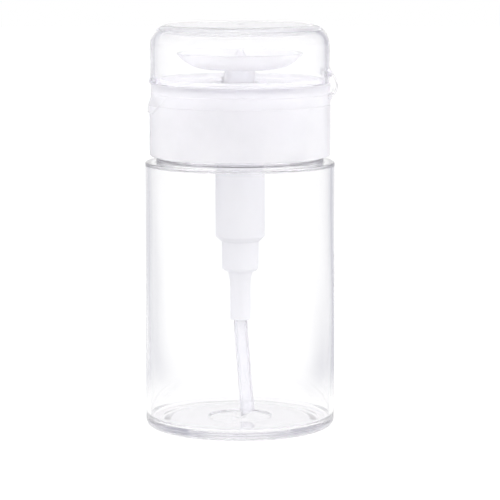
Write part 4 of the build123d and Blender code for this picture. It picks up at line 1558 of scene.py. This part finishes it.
def dress_nodes(frame: dict, finishes: dict[Slot, bpy.types.Material]) -> None:
    """Gives the finish of its slot to each node of the frame that still shows.

    Args:
        finishes: The materials by slot.
    """
    slots = {part["node"]: Slot(part["material_slot"]) for part in frame["record"]["subparts"]}
    for name, node in frame["nodes"].items():
        if not node.hide_render:
            node.data.materials.clear()
            node.data.materials.append(finishes[slots[name]])
            LOG.info("%s keeps its solid, in %s", name, slots[name].value)


@dataclass
class Studio:
    """A white sweep under soft light, with the camera where the reference view was taken from."""

    plain_light: float = 0.95
    floor_size: float = 4.0
    floor_gap: float = 2e-5
    floor_albedo: float = 0.85
    floor_glow: float = 0.74
    glow_strength: float = 1.12
    glow_foot: tuple[float, float] = (0.020, 0.0235)
    card_start: tuple[float, float] = (0.17, 0.44)
    card_depths: tuple[float, float] = (0.38, 0.50)
    card_beside: float = 0.26
    card_behind: float = 0.06
    card_change: tuple[float, float] = (-0.1, 0.1)
    card_front: tuple[float, float] = (0.5, 0.85)
    card_back: tuple[float, float] = (-0.2, 0.25)
    card_tint: Colour = (0.0, 0.0, 0.12)
    card_reach: tuple[float, float] = (0.03, 0.10)
    middle: float = 0.05
    camera_place: tuple[float, float, float] = (0.002534, -0.6791, 0.13563)
    camera_pitch: float = 7.62
    lens: float = 194.26

    def cards(self, g: Graph, way: Signal) -> Signal:
        """How far the grey cards beside the bottle dim what is met that way, from 0 to 1.

        With u the unit vector of x and y, they start where |u_x| leaves the middle, are deepest
        just beside the view's middle and paler from there round to the side and the back.
        """
        unit = g.vector("NORMALIZE", g.vector("MULTIPLY", way, (1.0, 1.0, 0.0)))
        across = g.node("ShaderNodeSeparateXYZ", {}, {"Vector": unit}, "X")
        ahead = g.node("ShaderNodeSeparateXYZ", {}, {"Vector": unit}, "Y")
        beside = across.greater_of(-1.0 * across).ramped(*self.card_start)
        deep = across.ramped(*self.card_change, *self.card_depths)
        wide = ahead.ramped(*self.card_front, self.card_beside, deep)
        return beside * ahead.ramped(*self.card_back, self.card_behind, wide)

    def dimmed(self, g: Graph, way: Signal, share: Signal) -> Signal:
        """White, dimmed by a share of the cards except where the camera meets it straight."""
        card = self.cards(g, way) * share * (1 - g.path("Is Camera Ray"))
        return g.tinted(card, (1.0, 1.0, 1.0), self.card_tint)

    def seen(self, g: Graph) -> Signal:
        """1 for rays from the camera, mirrored or through glass, until a matt surface."""
        direct = g.path("Is Camera Ray").greater_of(g.path("Is Glossy Ray"))
        direct = direct.greater_of(g.path("Is Transmission Ray"))
        scattered = g.path("Is Diffuse Ray")
        return direct * (1 - scattered) * (g.path("Diffuse Depth") < 0.5)

    def world(self) -> None:
        """White for what is seen, a plain level for what lights, and grey cards beside."""
        world = bpy.data.worlds.new("studio")
        bpy.context.scene.world = world
        world.use_nodes = True
        g = Graph(world.node_tree)
        way = g.node("ShaderNodeTexCoord", output="Generated")
        seen = self.seen(g)
        colour = self.dimmed(g, way, seen)
        strength = seen + (1 - seen) * self.plain_light
        g.finish(
            g.node("ShaderNodeBackground", {}, {"Color": colour, "Strength": strength}),
            "ShaderNodeOutputWorld",
        )

    def floor(self) -> None:
        """A plain white floor that keeps the bottle's shadow, and shows the cards beyond it."""
        half = self.floor_size / 2
        corners = [(-half, -half), (half, -half), (half, half), (-half, half)]
        points = [(x, y, -self.floor_gap) for x, y in corners]
        mesh = bpy.data.meshes.new("floor")
        mesh.from_pydata(points, [], [(0, 1, 2, 3)])
        floor = placed("floor", mesh)
        material, g = new_material("floor_paper")
        albedo = self.floor_albedo
        place = g.place()
        away = g.vector("LENGTH", g.vector("MULTIPLY", place, (1.0, 1.0, 0.0)), output="Value")
        colour = self.dimmed(g, place, away.ramped(*self.card_reach))
        paper = g.node("ShaderNodeBsdfDiffuse", {}, {"Color": (albedo, albedo, albedo, 1)})
        shine = {"Color": colour, "Strength": self.glow_strength}
        glow = g.node("ShaderNodeEmission", {}, shine)
        share = away.ramped(*self.glow_foot, 0.0, self.floor_glow)
        g.finish(g.mix(self.seen(g) * share, paper, glow))
        mesh.materials.append(material)

    def lamp(self, name: str, place: tuple[float, float, float], size: float, power: float) -> None:
        """A square soft lamp that faces the middle of the bottle."""
        light = bpy.data.lights.new(name, "AREA")
        light.size = size
        light.energy = power
        lamp = placed(name, light)
        away = np.array(place) - np.array([0.0, 0.0, self.middle])
        tilt = math.atan2(math.hypot(away[0], away[1]), away[2])
        lamp.location = place
        lamp.rotation_euler = (tilt, 0.0, math.atan2(away[1], away[0]) + math.pi / 2)
        lamp.visible_camera = False
        lamp.visible_glossy = False
        lamp.visible_transmission = False

    def camera(self) -> None:
        """The camera of the reference view."""
        data = bpy.data.cameras.new("camera")
        data.lens = self.lens
        data.sensor_width = 36.0
        camera = placed("camera", data)
        camera.location = self.camera_place
        camera.rotation_euler = (math.radians(90 - self.camera_pitch), 0.0, 0.0)
        bpy.context.scene.camera = camera

    def build(self) -> None:
        """Sets up the scene's light, floor, camera and how light is followed."""
        scene = bpy.context.scene
        scene.view_settings.view_transform = "Standard"
        scene.cycles.max_bounces = 64
        scene.cycles.transmission_bounces = 48
        scene.cycles.glossy_bounces = 48
        scene.cycles.diffuse_bounces = 16
        scene.cycles.transparent_max_bounces = 48
        scene.cycles.blur_glossy = 0.0
        self.world()
        self.floor()
        self.lamp("key", place=(0.75, -0.25, 0.5), size=0.6, power=2.4)
        self.lamp("fill", place=(-0.7, -0.35, 0.4), size=0.7, power=1.4)
        self.camera()


def main() -> None:
    """Builds the studio, the finishes and every piece, in order."""
    logging.basicConfig(level=logging.INFO, format="%(name)s: %(message)s")
    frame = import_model()
    Studio().build()
    finishes = Finishes().by_slot()
    BottleBody().build(finishes[Slot.BOTTLE])
    Closure().build(finishes[Slot.CLOSURE])
    Lid().build(finishes[Slot.LID])
    StrapHinge().build(finishes[Slot.LID])
    Dish().build(finishes[Slot.DISH])
    Nozzle().build(finishes[Slot.DISH])
    PumpHousing().build(finishes[Slot.PUMP])
    DipTube().build(finishes[Slot.TUBE])
    Spring().build(finishes[Slot.WIRE])
    Gasket().build(finishes[Slot.FOAM])
    dress_nodes(frame, finishes)


if __name__ == "__main__":
    main()
